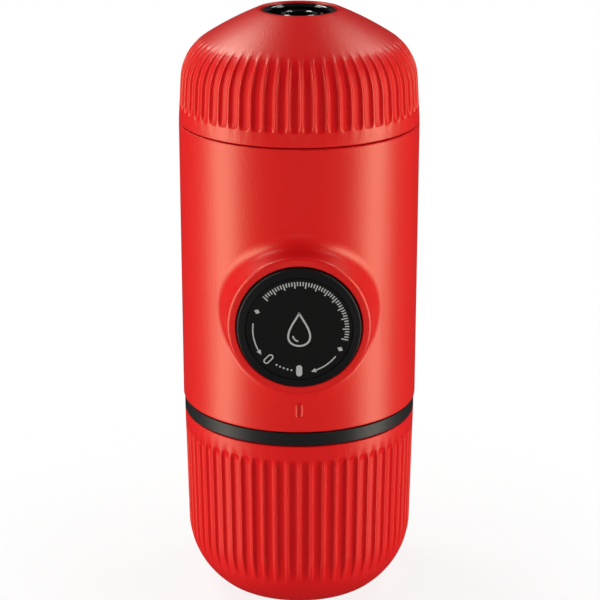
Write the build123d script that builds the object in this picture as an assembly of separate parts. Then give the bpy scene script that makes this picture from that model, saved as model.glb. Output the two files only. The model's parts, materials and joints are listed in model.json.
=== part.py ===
from build123d import *

import os
from math import asin, atan2, cos, degrees, hypot, radians, sin, tan

# Handheld manual espresso maker, standing upright on its cup.
# Millimetres, +Z up, origin at the centre of the base, pump knob towards -Y.

# ---------------------------------------------------------------- driving sizes

# Stack of outer pieces, from the base up
BODY_RADIUS = 31.0
CUP_HEIGHT = 49.0
BAND_HEIGHT = 3.5
BODY_HEIGHT = 74.5
DOME_HEIGHT = 28.5
SEAM_GAP = 0.3
SEAM_ROUND = 0.3

# Clearances
RUNNING_FIT = 0.05
SLIDING_GAP = 0.3
NEST_GAP = 0.1
SEAL_GAP = 0.15

# Cup
CUP_RIM_STEP = 0.3
CUP_DRAFT = 1.1
CUP_CORNER_RADIUS = 21.4
CUP_CORNER_HEIGHT = 17.7
CUP_TOE_RADIUS = 6.1
CUP_WALL = 1.8
LINER_WALL = 1.0
LINER_RIM_DROP = 1.4

# Dome
DOME_DRAFT = 3.3
DOME_SHOULDER_RISE = 10.3
DOME_SHOULDER_RADIUS = 13.0
DOME_CROWN_RADIUS = 90.0
DOME_OPENING_RADIUS = 9.8
DOME_LIP_WIDTH = 1.0
DOME_LIP_ROUND = 0.45
DOME_LIP_EDGE = 0.3
DOME_WALL = 2.2

# Flutes on cup and dome
FLUTE_COUNT = 60
FLUTE_RADIUS = 1.3
FLUTE_DEPTH = 0.7
FLUTE_RUNOUT = 2.7
CUP_FLUTE_DROP = 3.8
CUP_FLUTE_FADE = 20.0
DOME_FLUTE_RISE = 3.4
DOME_FLUTE_FADE = 56.0
FLUTE_OVERRUN = 3.0

# Body shell and boss
BODY_WALL = 2.2
BODY_FOOT_ROUND = 0.5
KNOB_RISE = 31.2
BOSS_PROUD = 7.0
BOSS_RING_WIDTH = 1.9
BOSS_DRAFT = 8.5
BOSS_BLEND_RADIUS = 4.0
BOSS_LIP = 1.4
BOSS_EDGE_BREAK = 0.25
BOSS_CREST_ROUND = 0.3
INDEX_RISE = 6.2
INDEX_LENGTH = 4.1
INDEX_WIDTH = 1.9
INDEX_DEPTH = 0.5

# Knob
KNOB_PROUD = 2.0
KNOB_RADIUS = 15.4
KNOB_BEVEL_WIDTH = 1.9
KNOB_BEVEL_DROP = 0.6
KNOB_EDGE_ROUND = 0.5
KNOB_RIM_WIDTH = 2.2
KNOB_CAP_DROP = 0.05
KNOB_CAP_THICKNESS = 1.45
KNOB_CAP_CHAMFER = 0.15
KNOB_WEB = 1.35
KNOB_SKIRT_STEP = 0.8
KNOB_SKIRT_WALL = 1.4
LUG_COUNT = 3
LUG_REACH = 1.6
LUG_THICKNESS = 1.5
LUG_ANGLE = 20.0
LUG_FIRST_ANGLE = 90.0
LUG_SIDE_ANGLE = 2.0
KNOB_TURN = 45.0

# Piston and pump
STROKE = 16.0
PISTON_BORE_RADIUS = 8.0
PUMP_WALL = 2.5
PUMP_NOSE = 13.0
PUMP_END_WALL = 2.6
PISTON_HEAD_LENGTH = 6.5
PISTON_HEAD_CLEARANCE = 0.15
PISTON_SEAL_SECTION = 0.95
PISTON_DEAD_LENGTH = 0.4
ROD_RADIUS = 5.0
ROD_SPIGOT_RADIUS = 2.5
ROD_PLAY = 0.1
ROD_STUD_LENGTH = 4.5
ROD_GUIDE_LENGTH = 4.0
ROD_GUIDE_FLANGE = 1.0
ROD_GUIDE_FLANGE_WIDTH = 1.6
KNOB_SCREW_HEAD_RADIUS = 3.5
KNOB_SCREW_HEAD_HEIGHT = 1.0
KNOB_SCREW_RADIUS = 0.9
KNOB_SCREW_LENGTH = 9.0
SPRING_WIRE = 0.6
SPRING_PLAY = 0.6
SPRING_TURNS = 6
FLANGE_THICKNESS = 2.0
FLANGE_STEP = 0.4
FLANGE_ARM_WIDTH = 6.0
PUMP_SCREW_REACH = 4.3
PUMP_SCREW_COUNT = 4
POST_RADIUS = 2.6
SCREW_RADIUS = 1.0
SCREW_HEAD_RADIUS = 1.9
SCREW_HEAD_HEIGHT = 1.3
PUMP_SCREW_LENGTH = 8.0
LOCK_RING_BASE = 1.6

# Suction and pressure channels behind the piston
PORT_SETBACK = 11.8
PORT_RADIUS = 2.0
CHANNEL_RADIUS = 4.5
CHANNEL_FOOT_THICKNESS = 2.5
CHANNEL_FOOT_RADIUS = 3.0
CHANNEL_SCREW_SPACING = 8.0
CHANNEL_SCREW_BITE = 1.7
VALVE_RADIUS = 3.2
VALVE_THICKNESS = 0.9
VALVE_STEM_RADIUS = 0.7
VALVE_STEM_LENGTH = 2.4
VALVE_POCKET_HEIGHT = 2.2
VENT_SETBACK = 14.8
VENT_RADIUS = 3.0
VENT_HOLE_RADIUS = 1.0

# Tank socket and water tank
SOCKET_WALL = 2.3
SOCKET_DROP = 22.8
SOCKET_PLATE = 2.5
SOCKET_FOOT_GAP = 0.3
TANK_WALL = 1.6
TANK_FLOOR_HEIGHT = 9.0
TANK_CORNER_RADIUS = 8.0
TANK_NECK_WALL = 2.0
TANK_SEAL_HEIGHT = 1.35
STRAINER_RADIUS = 5.0
STRAINER_HEIGHT = 2.2
STRAINER_WALL = 0.8
STRAINER_SLOTS = 8
STRAINER_SLOT_WIDTH = 0.8
CUP_SEAL_HEIGHT = 1.4

# Brew head and outlet head
BREW_DEPTH = 8.0
BREW_FLOOR = 3.0
BREW_TOP_GAP = 0.3
CHAMBER_HEIGHT = 4.2
SCREEN_THICKNESS = 0.8
SCREEN_HOLE_RADIUS = 0.8
SCREEN_HOLE_RINGS = 2
SCREEN_HOLE_SPACING = 6.0
SCREEN_LEDGE_WIDTH = 1.3
CHAMBER_POST_RADIUS = 3.2
SHOWER_SCREW_RADIUS = 1.5
SHOWER_SCREW_HEAD_RADIUS = 2.9
SHOWER_SCREW_HEAD_HEIGHT = 1.0
SHOWER_SCREW_LENGTH = 4.4
NECK_RISE = 8.5
NECK_WALL = 3.8
BREW_GASKET_HEIGHT = 2.0
BREW_GASKET_WIDTH = 2.3
BASKET_GAP = 0.6
BASKET_WALL = 1.4
BASKET_HEIGHT = 16.0
BASKET_END = 1.2
BASKET_SEAL_HEIGHT = 1.5
BASKET_SEAL_DEPTH = 0.6
BASKET_SEAL_RISE = 2.0
FILTER_THICKNESS = 0.5
PORTAFILTER_WALL = 1.9
PORTAFILTER_FOOT_GAP = 1.0
PORTAFILTER_TOP_DROP = 3.4
HEAD_GASKET_HEIGHT = 1.35
NOZZLE_SEAT_THICKNESS = 2.4
NOZZLE_DROP = 0.3
NOZZLE_RIM = 1.0
NOZZLE_DISH_DEPTH = 4.3
NOZZLE_HUB_RADIUS = 4.4
NOZZLE_HUB_DROP = 1.0
SPOUT_RADIUS = 3.3
SPOUT_DEPTH = 4.8
OUTLET_RADIUS = 1.6
VANE_COUNT = 6
VANE_CURVE_RADIUS = 4.6
VANE_THICKNESS = 0.7
VANE_DROP = 1.8
CREMA_VALVE_RADIUS = 4.2
CREMA_VALVE_THICKNESS = 1.1
CREMA_POCKET_HEIGHT = 1.5
NOZZLE_SEAL_RADIUS = 7.4
NOZZLE_SEAL_SECTION = 0.6

# ---------------------------------------------------------------- levels up the stack

BAND_BOTTOM = CUP_HEIGHT + SEAM_GAP
BAND_TOP = BAND_BOTTOM + BAND_HEIGHT
BODY_BOTTOM = BAND_TOP + SEAM_GAP
BODY_TOP = BODY_BOTTOM + BODY_HEIGHT
DOME_BOTTOM = BODY_TOP + SEAM_GAP
DOME_TOP = DOME_BOTTOM + DOME_HEIGHT

CUP_FLUTE_TOP = CUP_HEIGHT - CUP_FLUTE_DROP
DOME_FLUTE_BOTTOM = DOME_BOTTOM + DOME_FLUTE_RISE
KNOB_AXIS_HEIGHT = BODY_BOTTOM + KNOB_RISE
INDEX_HEIGHT = BODY_BOTTOM + INDEX_RISE
SOCKET_PLATE_BOTTOM = KNOB_AXIS_HEIGHT - SOCKET_DROP
SOCKET_PLATE_TOP = SOCKET_PLATE_BOTTOM + SOCKET_PLATE
TANK_NECK_TOP = SOCKET_PLATE_BOTTOM - TANK_SEAL_HEIGHT - SEAL_GAP
BREW_FLOOR_BOTTOM = BODY_TOP - BREW_DEPTH
BREW_FLOOR_TOP = BREW_FLOOR_BOTTOM + BREW_FLOOR
SCREEN_LEDGE_HEIGHT = BREW_FLOOR_TOP + CHAMBER_HEIGHT
SCREEN_TOP = SCREEN_LEDGE_HEIGHT + SCREEN_THICKNESS
BASKET_BOTTOM = SCREEN_TOP + BREW_GASKET_HEIGHT + SEAL_GAP
BASKET_TOP = BASKET_BOTTOM + BASKET_HEIGHT
NECK_TOP = BODY_TOP + NECK_RISE
HEAD_STEP_HEIGHT = NECK_TOP + SEAL_GAP + HEAD_GASKET_HEIGHT
NOZZLE_SEAT_HEIGHT = BASKET_TOP + SLIDING_GAP + NOZZLE_SEAT_THICKNESS
NOZZLE_TOP = DOME_TOP - NOZZLE_DROP

# ---------------------------------------------------------------- radii about the main axis

CUP_RIM_RADIUS = BODY_RADIUS - CUP_RIM_STEP
BODY_BORE_RADIUS = BODY_RADIUS - BODY_WALL
INNER_RADIUS = BODY_BORE_RADIUS - 2 * NEST_GAP
LINER_INSET = CUP_WALL + NEST_GAP
TANK_INSET = LINER_INSET + LINER_WALL + SLIDING_GAP
TANK_NECK_RADIUS = INNER_RADIUS - SOCKET_WALL - SLIDING_GAP
NECK_RADIUS = BODY_RADIUS - DOME_WALL - 2 * NEST_GAP - PORTAFILTER_WALL - SLIDING_GAP
NECK_BORE_RADIUS = NECK_RADIUS - NECK_WALL
CHAMBER_RADIUS = NECK_BORE_RADIUS - SCREEN_LEDGE_WIDTH
BASKET_RADIUS = NECK_BORE_RADIUS - BASKET_GAP
DOME_RIM_RADIUS = DOME_OPENING_RADIUS + DOME_LIP_WIDTH
NOZZLE_RADIUS = DOME_OPENING_RADIUS - 2 * NEST_GAP

# ---------------------------------------------------------------- radii about the knob's axis

BOSS_HOLE_RADIUS = KNOB_RADIUS + SLIDING_GAP
BOSS_CREST_RADIUS = BOSS_HOLE_RADIUS + BOSS_RING_WIDTH
KNOB_CAP_RADIUS = KNOB_RADIUS - KNOB_RIM_WIDTH
KNOB_SKIRT_RADIUS = KNOB_RADIUS - KNOB_SKIRT_STEP
SPRING_RADIUS = KNOB_SKIRT_RADIUS - KNOB_SKIRT_WALL - SPRING_PLAY - SPRING_WIRE
LUG_RADIUS = KNOB_SKIRT_RADIUS + LUG_REACH
LOCK_RING_RADIUS = LUG_RADIUS + SLIDING_GAP
FLANGE_RADIUS = LOCK_RING_RADIUS + FLANGE_STEP
PUMP_SCREW_CIRCLE = FLANGE_RADIUS + PUMP_SCREW_REACH
PUMP_RADIUS = PISTON_BORE_RADIUS + PUMP_WALL
ROD_GUIDE_FLANGE_RADIUS = PISTON_BORE_RADIUS + ROD_GUIDE_FLANGE_WIDTH

# ---------------------------------------------------------------- places along Y, negative towards the knob

BOSS_CREST = -(BODY_RADIUS + BOSS_PROUD)
KNOB_FACE = BOSS_CREST - KNOB_PROUD
KNOB_CAP_FRONT = KNOB_FACE + KNOB_CAP_DROP
KNOB_CAP_BACK = KNOB_CAP_FRONT + KNOB_CAP_THICKNESS
SCREW_POCKET_DEPTH = KNOB_SCREW_HEAD_HEIGHT + NEST_GAP + ROD_PLAY / 2
KNOB_WEB_FRONT = KNOB_CAP_BACK + NEST_GAP + SCREW_POCKET_DEPTH
KNOB_WEB_BACK = KNOB_WEB_FRONT + KNOB_WEB
KNOB_HEAD_BACK = BOSS_CREST + BOSS_LIP - SLIDING_GAP
ROD_SHOULDER = KNOB_WEB_BACK + ROD_PLAY
ROD_FRONT = KNOB_WEB_FRONT - ROD_PLAY / 2
LOCK_RING_FRONT = BOSS_CREST + BOSS_LIP + 2 * NEST_GAP
LUG_FRONT = BOSS_CREST + BOSS_LIP + 2 * NEST_GAP + STROKE
KNOB_SKIRT_END = LUG_FRONT + LUG_THICKNESS
LOCK_RING_FLOOR = KNOB_SKIRT_END + SLIDING_GAP
FLANGE_FRONT = LOCK_RING_FLOOR + LOCK_RING_BASE
FLANGE_BACK = FLANGE_FRONT + FLANGE_THICKNESS
PUMP_FRONT = FLANGE_FRONT - PUMP_NOSE
PORT_BACK = BODY_BORE_RADIUS - PORT_SETBACK
VENT_PLACE = VENT_SETBACK - BODY_BORE_RADIUS
PISTON_HEAD_FRONT = PORT_BACK - PORT_RADIUS - PISTON_DEAD_LENGTH - PISTON_HEAD_LENGTH
PISTON_HEAD_BACK = PISTON_HEAD_FRONT + PISTON_HEAD_LENGTH
PUMP_END = PORT_BACK + PORT_RADIUS + PISTON_DEAD_LENGTH
PUMP_BACK = PUMP_END + PUMP_END_WALL


# ---------------------------------------------------------------- helpers

def turned(*outline):
    """Solid of revolution about Z from a closed outline of (radius, height) points."""
    return revolve(make_face(Plane.XZ * Polyline(*outline, close=True)), Axis.Z)


def disc(radius, bottom, top):
    """Upright cylinder between two heights."""
    return Pos(0, 0, bottom) * Cylinder(radius, top - bottom, align=(Align.CENTER, Align.CENTER, Align.MIN))


def ring(outer, inner, bottom, top):
    """Upright tube between two heights."""
    return disc(outer, bottom, top) - disc(inner, bottom, top)


def knob_disc(radius, front, back):
    """Cylinder on the knob's axis between two distances along Y."""
    cylinder = Cylinder(radius, back - front, align=(Align.CENTER, Align.CENTER, Align.MIN))
    return Pos(0, front, KNOB_AXIS_HEIGHT) * Rot(-90, 0, 0) * cylinder


def knob_turned(*outline):
    """Solid of revolution about the knob's axis from a closed outline of (radius, Y) points."""
    profile = make_face(Plane.XY * Polyline(*outline, close=True))
    return Pos(0, 0, KNOB_AXIS_HEIGHT) * revolve(profile, Axis.Y)


def knob_ring(outer, inner, front, back):
    """Tube on the knob's axis between two distances along Y."""
    return knob_disc(outer, front, back) - knob_disc(inner, front, back)


def around_knob(angle):
    """Turn about the knob's axis, counter-clockwise as seen from the knob's side."""
    return Pos(0, 0, KNOB_AXIS_HEIGHT) * Rot(0, -angle, 0) * Pos(0, 0, -KNOB_AXIS_HEIGHT)


def knob_sector(outer, inner, front, back, start, sweep_angle):
    """Arc-shaped block on the knob's axis between two angles from +X."""
    middle = radians(start + sweep_angle / 2)
    reach = outer / cos(radians(sweep_angle / 2)) + 1
    corner_a = (reach * cos(radians(start)), reach * sin(radians(start)))
    corner_b = (reach * cos(radians(start + sweep_angle)), reach * sin(radians(start + sweep_angle)))
    tip = (2 * reach * cos(middle), 2 * reach * sin(middle))
    wedge = make_face(Plane.XZ * Polyline((0, 0), corner_a, tip, corner_b, close=True))
    block = extrude(wedge, back - front, dir=(0, 1, 0))
    return knob_ring(outer, inner, front, back) & (Pos(0, front, KNOB_AXIS_HEIGHT) * block)


def edges_at(solid, radius, height):
    """Circular edges of a turned solid at one radius and height."""
    return [
        edge
        for edge in solid.edges().filter_by(GeomType.CIRCLE)
        if abs(edge.center(CenterOf.BOUNDING_BOX).Z - height) < 1e-3 and abs(edge.radius - radius) < 1e-3
    ]


def knob_edges_at(solid, radius, distance):
    """Circular edges about the knob's axis at one radius and distance along Y."""
    return [
        edge
        for edge in solid.edges().filter_by(GeomType.CIRCLE)
        if abs(edge.center(CenterOf.BOUNDING_BOX).Y - distance) < 1e-3 and abs(edge.radius - radius) < 1e-3
    ]


def screw(radius, length, head_radius, head_height):
    """Pan-head screw along Z with its seat at the origin and its shank downwards."""
    head = disc(head_radius, 0, head_height)
    head = chamfer(edges_at(head, head_radius, head_height), head_height * 0.3)
    return head + disc(radius, -length, 0)


def hole_rings(radius, spacing, rings, bottom, top):
    """Cutters for a round field of holes: one in the middle, then rings of 6, 12 and so on."""
    cutters = [disc(radius, bottom, top)]
    for index in range(1, rings + 1):
        for step in range(6 * index):
            cutters.append(Rot(0, 0, 60 * step / index) * Pos(index * spacing, 0, 0) * disc(radius, bottom, top))
    return cutters


# ---------------------------------------------------------------- cup form and dome form

def cup_wall_radius(height, inset=0.0):
    """Radius of the drafted cup wall, or of a wall set in from it."""
    return CUP_RIM_RADIUS - (CUP_HEIGHT - height) * tan(radians(CUP_DRAFT)) - inset / cos(radians(CUP_DRAFT))


def cup_corner_centre():
    """Centre of the large corner arc: radius and height."""
    draft = radians(CUP_DRAFT)
    touch_height = CUP_CORNER_HEIGHT - CUP_CORNER_RADIUS * sin(draft)
    return cup_wall_radius(touch_height) - CUP_CORNER_RADIUS * cos(draft), CUP_CORNER_HEIGHT


def cup_form(inset, top):
    """Filled cup shape, set in by a wall: flat base, toe arc, corner arc, drafted wall."""
    draft = radians(CUP_DRAFT)
    corner_r, corner_z = cup_corner_centre()
    spread = CUP_CORNER_RADIUS - CUP_TOE_RADIUS
    drop = corner_z - CUP_TOE_RADIUS
    toe_r = corner_r + (spread**2 - drop**2) ** 0.5
    toe_z = CUP_TOE_RADIUS
    joint_cos = (toe_r - corner_r) / spread
    joint_sin = drop / spread
    toe = CUP_TOE_RADIUS - inset
    corner = CUP_CORNER_RADIUS - inset
    base_end = (toe_r, inset)
    joint = (toe_r + toe * joint_cos, toe_z - toe * joint_sin)
    wall_foot = (corner_r + corner * cos(draft), corner_z - corner * sin(draft))
    rim = (cup_wall_radius(top, inset), top)
    outline = [
        Line((0, inset), base_end),
        TangentArc(base_end, joint, tangent=(1, 0)),
        TangentArc(joint, wall_foot, tangent=(joint_sin, joint_cos)),
        Line(wall_foot, rim),
        Line(rim, (0, top)),
        Line((0, top), (0, inset)),
    ]
    return revolve(make_face([Plane.XZ * edge for edge in outline]), Axis.Z)


def dome_shoulder_centre():
    """Centre of the shoulder arc, which the drafted wall touches."""
    draft = radians(DOME_DRAFT)
    height = DOME_BOTTOM + DOME_SHOULDER_RISE
    touch_height = height + DOME_SHOULDER_RADIUS * sin(draft)
    wall_radius = BODY_RADIUS - (touch_height - DOME_BOTTOM) * tan(draft)
    return wall_radius - DOME_SHOULDER_RADIUS * cos(draft), height


def dome_crown_centre():
    """Centre of the shallow crown arc, which touches the shoulder arc and ends at the rim."""
    shoulder_r, shoulder_z = dome_shoulder_centre()
    across = DOME_RIM_RADIUS - shoulder_r
    up = DOME_TOP - shoulder_z
    reach = hypot(across, up)
    inner = DOME_CROWN_RADIUS - DOME_SHOULDER_RADIUS
    along = (inner**2 - DOME_CROWN_RADIUS**2 + reach**2) / (2 * reach)
    aside = (inner**2 - along**2) ** 0.5
    return (
        shoulder_r + (along * across - aside * up) / reach,
        shoulder_z + (along * up + aside * across) / reach,
    )


def dome_form(inset, bottom, top):
    """Filled dome shape, set in by a wall: drafted wall, shoulder arc, shallow crown arc."""
    draft = radians(DOME_DRAFT)
    shoulder_r, shoulder_z = dome_shoulder_centre()
    crown_r, crown_z = dome_crown_centre()
    lean = atan2(shoulder_z - crown_z, shoulder_r - crown_r)
    shoulder = DOME_SHOULDER_RADIUS - inset
    crown = DOME_CROWN_RADIUS - inset
    wall_head = (shoulder_r + shoulder * cos(draft), shoulder_z + shoulder * sin(draft))
    crown_foot = (shoulder_r + shoulder * cos(lean), shoulder_z + shoulder * sin(lean))
    foot = (wall_head[0] + (wall_head[1] - bottom) * tan(draft), bottom)
    head = (crown_r + (crown**2 - (top - crown_z) ** 2) ** 0.5, top)
    outline = [
        Line((0, bottom), foot),
        Line(foot, wall_head),
        TangentArc(wall_head, crown_foot, tangent=(-sin(draft), cos(draft))),
        TangentArc(crown_foot, head, tangent=(-sin(lean), cos(lean))),
        Line(head, (0, top)),
        Line((0, top), (0, bottom)),
    ]
    return revolve(make_face([Plane.XZ * edge for edge in outline]), Axis.Z)


def flute_cutters(centre, arc_radius, draft, fade, end_height, side):
    """Round cutters for all flutes: straight along the wall, then round the corner arc.

    The path leaves the surface at both ends, so each flute runs out in an arch: towards the fade
    angle on the arc, and over FLUTE_RUNOUT on the wall, up to the end height.
    side is +1 where the arc climbs inwards above the wall and -1 where it falls inwards below it.
    """
    lean = radians(draft)
    shift = FLUTE_DEPTH / (cos(lean) - cos(radians(fade)))
    hinge_r = centre[0] - shift
    path_radius = arc_radius + FLUTE_RADIUS - FLUTE_DEPTH + shift * cos(lean)
    start = Vector(hinge_r + path_radius * cos(lean), 0, centre[1] + side * path_radius * sin(lean))
    heading = Vector(-sin(lean), 0, side * cos(lean))
    outward = Vector(cos(lean), 0, side * sin(lean))
    section = Plane(origin=start, z_dir=heading) * Circle(FLUTE_RADIUS)
    turn = (0, -side, 0)
    bend = revolve(section, Axis((hinge_r, 0, centre[1]), turn), revolution_arc=fade + FLUTE_OVERRUN - draft)
    straight = side * (start.Z - end_height) / cos(lean) - FLUTE_RUNOUT
    run = extrude(section, -straight)
    tail = start - heading * straight
    exit_radius = (FLUTE_RUNOUT**2 + FLUTE_DEPTH**2) / (2 * FLUTE_DEPTH)
    exit_angle = degrees(asin(FLUTE_RUNOUT / exit_radius)) + FLUTE_OVERRUN
    exit_hinge = Axis(tail + outward * (exit_radius - FLUTE_RADIUS), turn)
    runout = revolve(Plane(origin=tail, z_dir=heading) * Circle(FLUTE_RADIUS), exit_hinge, revolution_arc=exit_angle)
    cutter = bend + run + runout
    pitch = 360 / FLUTE_COUNT
    return [Rot(0, 0, pitch * (index + 0.5)) * cutter for index in range(FLUTE_COUNT)]


# ---------------------------------------------------------------- cup and water tank

def make_cup_shell():
    shell = cup_form(0, CUP_HEIGHT) - cup_form(CUP_WALL, CUP_HEIGHT)
    shell = fillet(edges_at(shell, CUP_RIM_RADIUS, CUP_HEIGHT), SEAM_ROUND)
    return shell - flute_cutters(
        cup_corner_centre(), CUP_CORNER_RADIUS, CUP_DRAFT, CUP_FLUTE_FADE, CUP_FLUTE_TOP, -1
    )


def make_cup_liner():
    rim = CUP_HEIGHT - LINER_RIM_DROP
    return cup_form(LINER_INSET, rim) - cup_form(LINER_INSET + LINER_WALL, rim)


def tank_form(inset, floor, corner, top):
    """Filled tank shape that follows the cup's wall down to a rounded floor."""
    foot_radius = cup_wall_radius(floor, inset)
    form = turned((0, floor), (foot_radius, floor), (cup_wall_radius(top, inset), top), (0, top))
    return fillet(edges_at(form, foot_radius, floor), corner)


def make_water_tank():
    inner_inset = TANK_INSET + TANK_WALL
    neck_inner = TANK_NECK_RADIUS - TANK_NECK_WALL
    tank = tank_form(TANK_INSET, TANK_FLOOR_HEIGHT, TANK_CORNER_RADIUS, BAND_BOTTOM)
    collar = disc(CUP_RIM_RADIUS, BAND_BOTTOM, BAND_TOP)
    tank += fillet(
        edges_at(collar, CUP_RIM_RADIUS, BAND_BOTTOM) + edges_at(collar, CUP_RIM_RADIUS, BAND_TOP), SEAM_ROUND
    )
    tank += disc(TANK_NECK_RADIUS, BAND_TOP, TANK_NECK_TOP)
    tank -= tank_form(
        inner_inset, TANK_FLOOR_HEIGHT + TANK_WALL, TANK_CORNER_RADIUS - TANK_WALL, BAND_BOTTOM
    )
    shoulder = cup_wall_radius(BAND_BOTTOM, inner_inset)
    return tank - turned(
        (0, BAND_BOTTOM),
        (shoulder, BAND_BOTTOM),
        (neck_inner, BAND_BOTTOM + shoulder - neck_inner),
        (neck_inner, TANK_NECK_TOP),
        (0, TANK_NECK_TOP),
    )


def make_cup_seal():
    bottom = BAND_BOTTOM - CUP_SEAL_HEIGHT
    return ring(
        cup_wall_radius(bottom, CUP_WALL) - SEAL_GAP,
        cup_wall_radius(BAND_BOTTOM, TANK_INSET) + RUNNING_FIT,
        bottom,
        BAND_BOTTOM,
    )


def make_tank_seal():
    return ring(
        TANK_NECK_RADIUS - NEST_GAP,
        TANK_NECK_RADIUS - TANK_NECK_WALL + NEST_GAP,
        TANK_NECK_TOP + SEAL_GAP,
        SOCKET_PLATE_BOTTOM,
    )


# ---------------------------------------------------------------- main body

def boss_cone():
    """Drafted outside of the boss, from its crest back into the body."""
    depth = -BOSS_CREST - BODY_RADIUS / 2
    back_radius = BOSS_CREST_RADIUS + depth * tan(radians(BOSS_DRAFT))
    cone = Cone(BOSS_CREST_RADIUS, back_radius, depth, align=(Align.CENTER, Align.CENTER, Align.MIN))
    return Pos(0, BOSS_CREST, KNOB_AXIS_HEIGHT) * Rot(-90, 0, 0) * cone


def pump_screw_angles():
    return [360 / PUMP_SCREW_COUNT * (index + 0.5) for index in range(PUMP_SCREW_COUNT)]


def at_pump_screw(angle, distance, shape):
    """Put a Z-axis shape on a pump screw, pointing backwards from a distance along Y."""
    place = Pos(PUMP_SCREW_CIRCLE, distance, KNOB_AXIS_HEIGHT) * Rot(-90, 0, 0)
    return around_knob(angle) * place * shape


def index_groove():
    """Cutter for the rounded index mark under the knob."""
    radius = (INDEX_WIDTH**2 / 4 + INDEX_DEPTH**2) / (2 * INDEX_DEPTH)
    reach = INDEX_LENGTH / 2 - INDEX_WIDTH / 2
    ends = [Pos(0, 0, side * reach) * Sphere(radius) for side in (-1, 1)]
    groove = Cylinder(radius, 2 * reach) + ends
    return Pos(0, INDEX_DEPTH - BODY_RADIUS - radius, INDEX_HEIGHT) * groove


def make_body_shell():
    barrel = disc(BODY_RADIUS, BODY_BOTTOM, BODY_TOP)
    barrel = fillet(edges_at(barrel, BODY_RADIUS, BODY_BOTTOM), BODY_FOOT_ROUND)
    barrel = fillet(edges_at(barrel, BODY_RADIUS, BODY_TOP), SEAM_ROUND)
    outside = barrel + boss_cone()
    meeting = [edge for edge in outside.edges() if edge.geom_type not in (GeomType.LINE, GeomType.CIRCLE)]
    outside = fillet(meeting, BOSS_BLEND_RADIUS)
    outside = fillet(knob_edges_at(outside, BOSS_CREST_RADIUS, BOSS_CREST), BOSS_CREST_ROUND)
    shell = outside - disc(BODY_BORE_RADIUS, BODY_BOTTOM, BODY_TOP)
    for angle in pump_screw_angles():
        post = disc(POST_RADIUS, 0, BODY_RADIUS - BODY_WALL / 2 + FLANGE_FRONT)
        post = at_pump_screw(angle, FLANGE_FRONT, Rot(180, 0, 0) * post)
        shell += post & disc(BODY_RADIUS - BODY_WALL / 2, BODY_BOTTOM, BODY_TOP)
        shell -= at_pump_screw(angle, FLANGE_FRONT, disc(SCREW_RADIUS + RUNNING_FIT, -PUMP_SCREW_LENGTH, 0))
    shell -= knob_disc(LOCK_RING_RADIUS + NEST_GAP, BOSS_CREST + BOSS_LIP, 0)
    shell -= knob_disc(BOSS_HOLE_RADIUS, BOSS_CREST, BOSS_CREST + BOSS_LIP)
    shell = chamfer(knob_edges_at(shell, BOSS_HOLE_RADIUS, BOSS_CREST), BOSS_EDGE_BREAK)
    return shell - index_groove()


def make_lock_ring():
    """Bayonet sleeve: one open window per lug, as wide as the lug's whole turn."""
    inner = KNOB_SKIRT_RADIUS + SLIDING_GAP
    sleeve = knob_ring(LOCK_RING_RADIUS, inner, LOCK_RING_FRONT, FLANGE_FRONT)
    for index in range(LUG_COUNT):
        start = LUG_FIRST_ANGLE + 360 / LUG_COUNT * index - LUG_ANGLE / 2 - LUG_SIDE_ANGLE
        width = LUG_ANGLE + KNOB_TURN + 2 * LUG_SIDE_ANGLE
        sleeve -= knob_sector(LOCK_RING_RADIUS + 1, inner - 1, LOCK_RING_FRONT, LOCK_RING_FLOOR, start, width)
    return sleeve


def channel(bottom, top):
    """Upright channel wall at the port."""
    return Pos(0, PORT_BACK, 0) * disc(CHANNEL_RADIUS, bottom, top)


def channel_foot(bottom, top):
    """Two-eared foot of a channel."""
    width = 2 * (CHANNEL_SCREW_SPACING + CHANNEL_FOOT_RADIUS)
    foot = extrude(SlotOverall(width, 2 * CHANNEL_FOOT_RADIUS), top - bottom)
    return Pos(0, PORT_BACK, bottom) * foot


def channel_screws(height, upwards):
    """The pair of screws in one channel foot."""
    length = CHANNEL_FOOT_THICKNESS + CHANNEL_SCREW_BITE
    one = screw(SCREW_RADIUS, length, SCREW_HEAD_RADIUS, SCREW_HEAD_HEIGHT)
    if upwards:
        one = Rot(180, 0, 0) * one
    return [Pos(side * CHANNEL_SCREW_SPACING, PORT_BACK, height) * one for side in (-1, 1)]


def channel_screw_holes(bottom, top):
    hole = disc(SCREW_RADIUS + RUNNING_FIT, bottom, top)
    return [Pos(side * CHANNEL_SCREW_SPACING, PORT_BACK, 0) * hole for side in (-1, 1)]


def make_tank_socket():
    inner = TANK_NECK_RADIUS + SLIDING_GAP
    bottom = BODY_BOTTOM + SOCKET_FOOT_GAP
    socket = disc(INNER_RADIUS, bottom, SOCKET_PLATE_TOP) - disc(inner, bottom, SOCKET_PLATE_BOTTOM)
    socket -= Pos(0, PORT_BACK, 0) * disc(PORT_RADIUS, SOCKET_PLATE_BOTTOM, SOCKET_PLATE_TOP)
    socket -= Pos(0, VENT_PLACE, 0) * disc(
        VENT_HOLE_RADIUS + RUNNING_FIT, SOCKET_PLATE_BOTTOM, SOCKET_PLATE_TOP
    )
    bite = SOCKET_PLATE_TOP - CHANNEL_SCREW_BITE - RUNNING_FIT
    return socket - channel_screw_holes(bite, SOCKET_PLATE_TOP)


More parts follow.
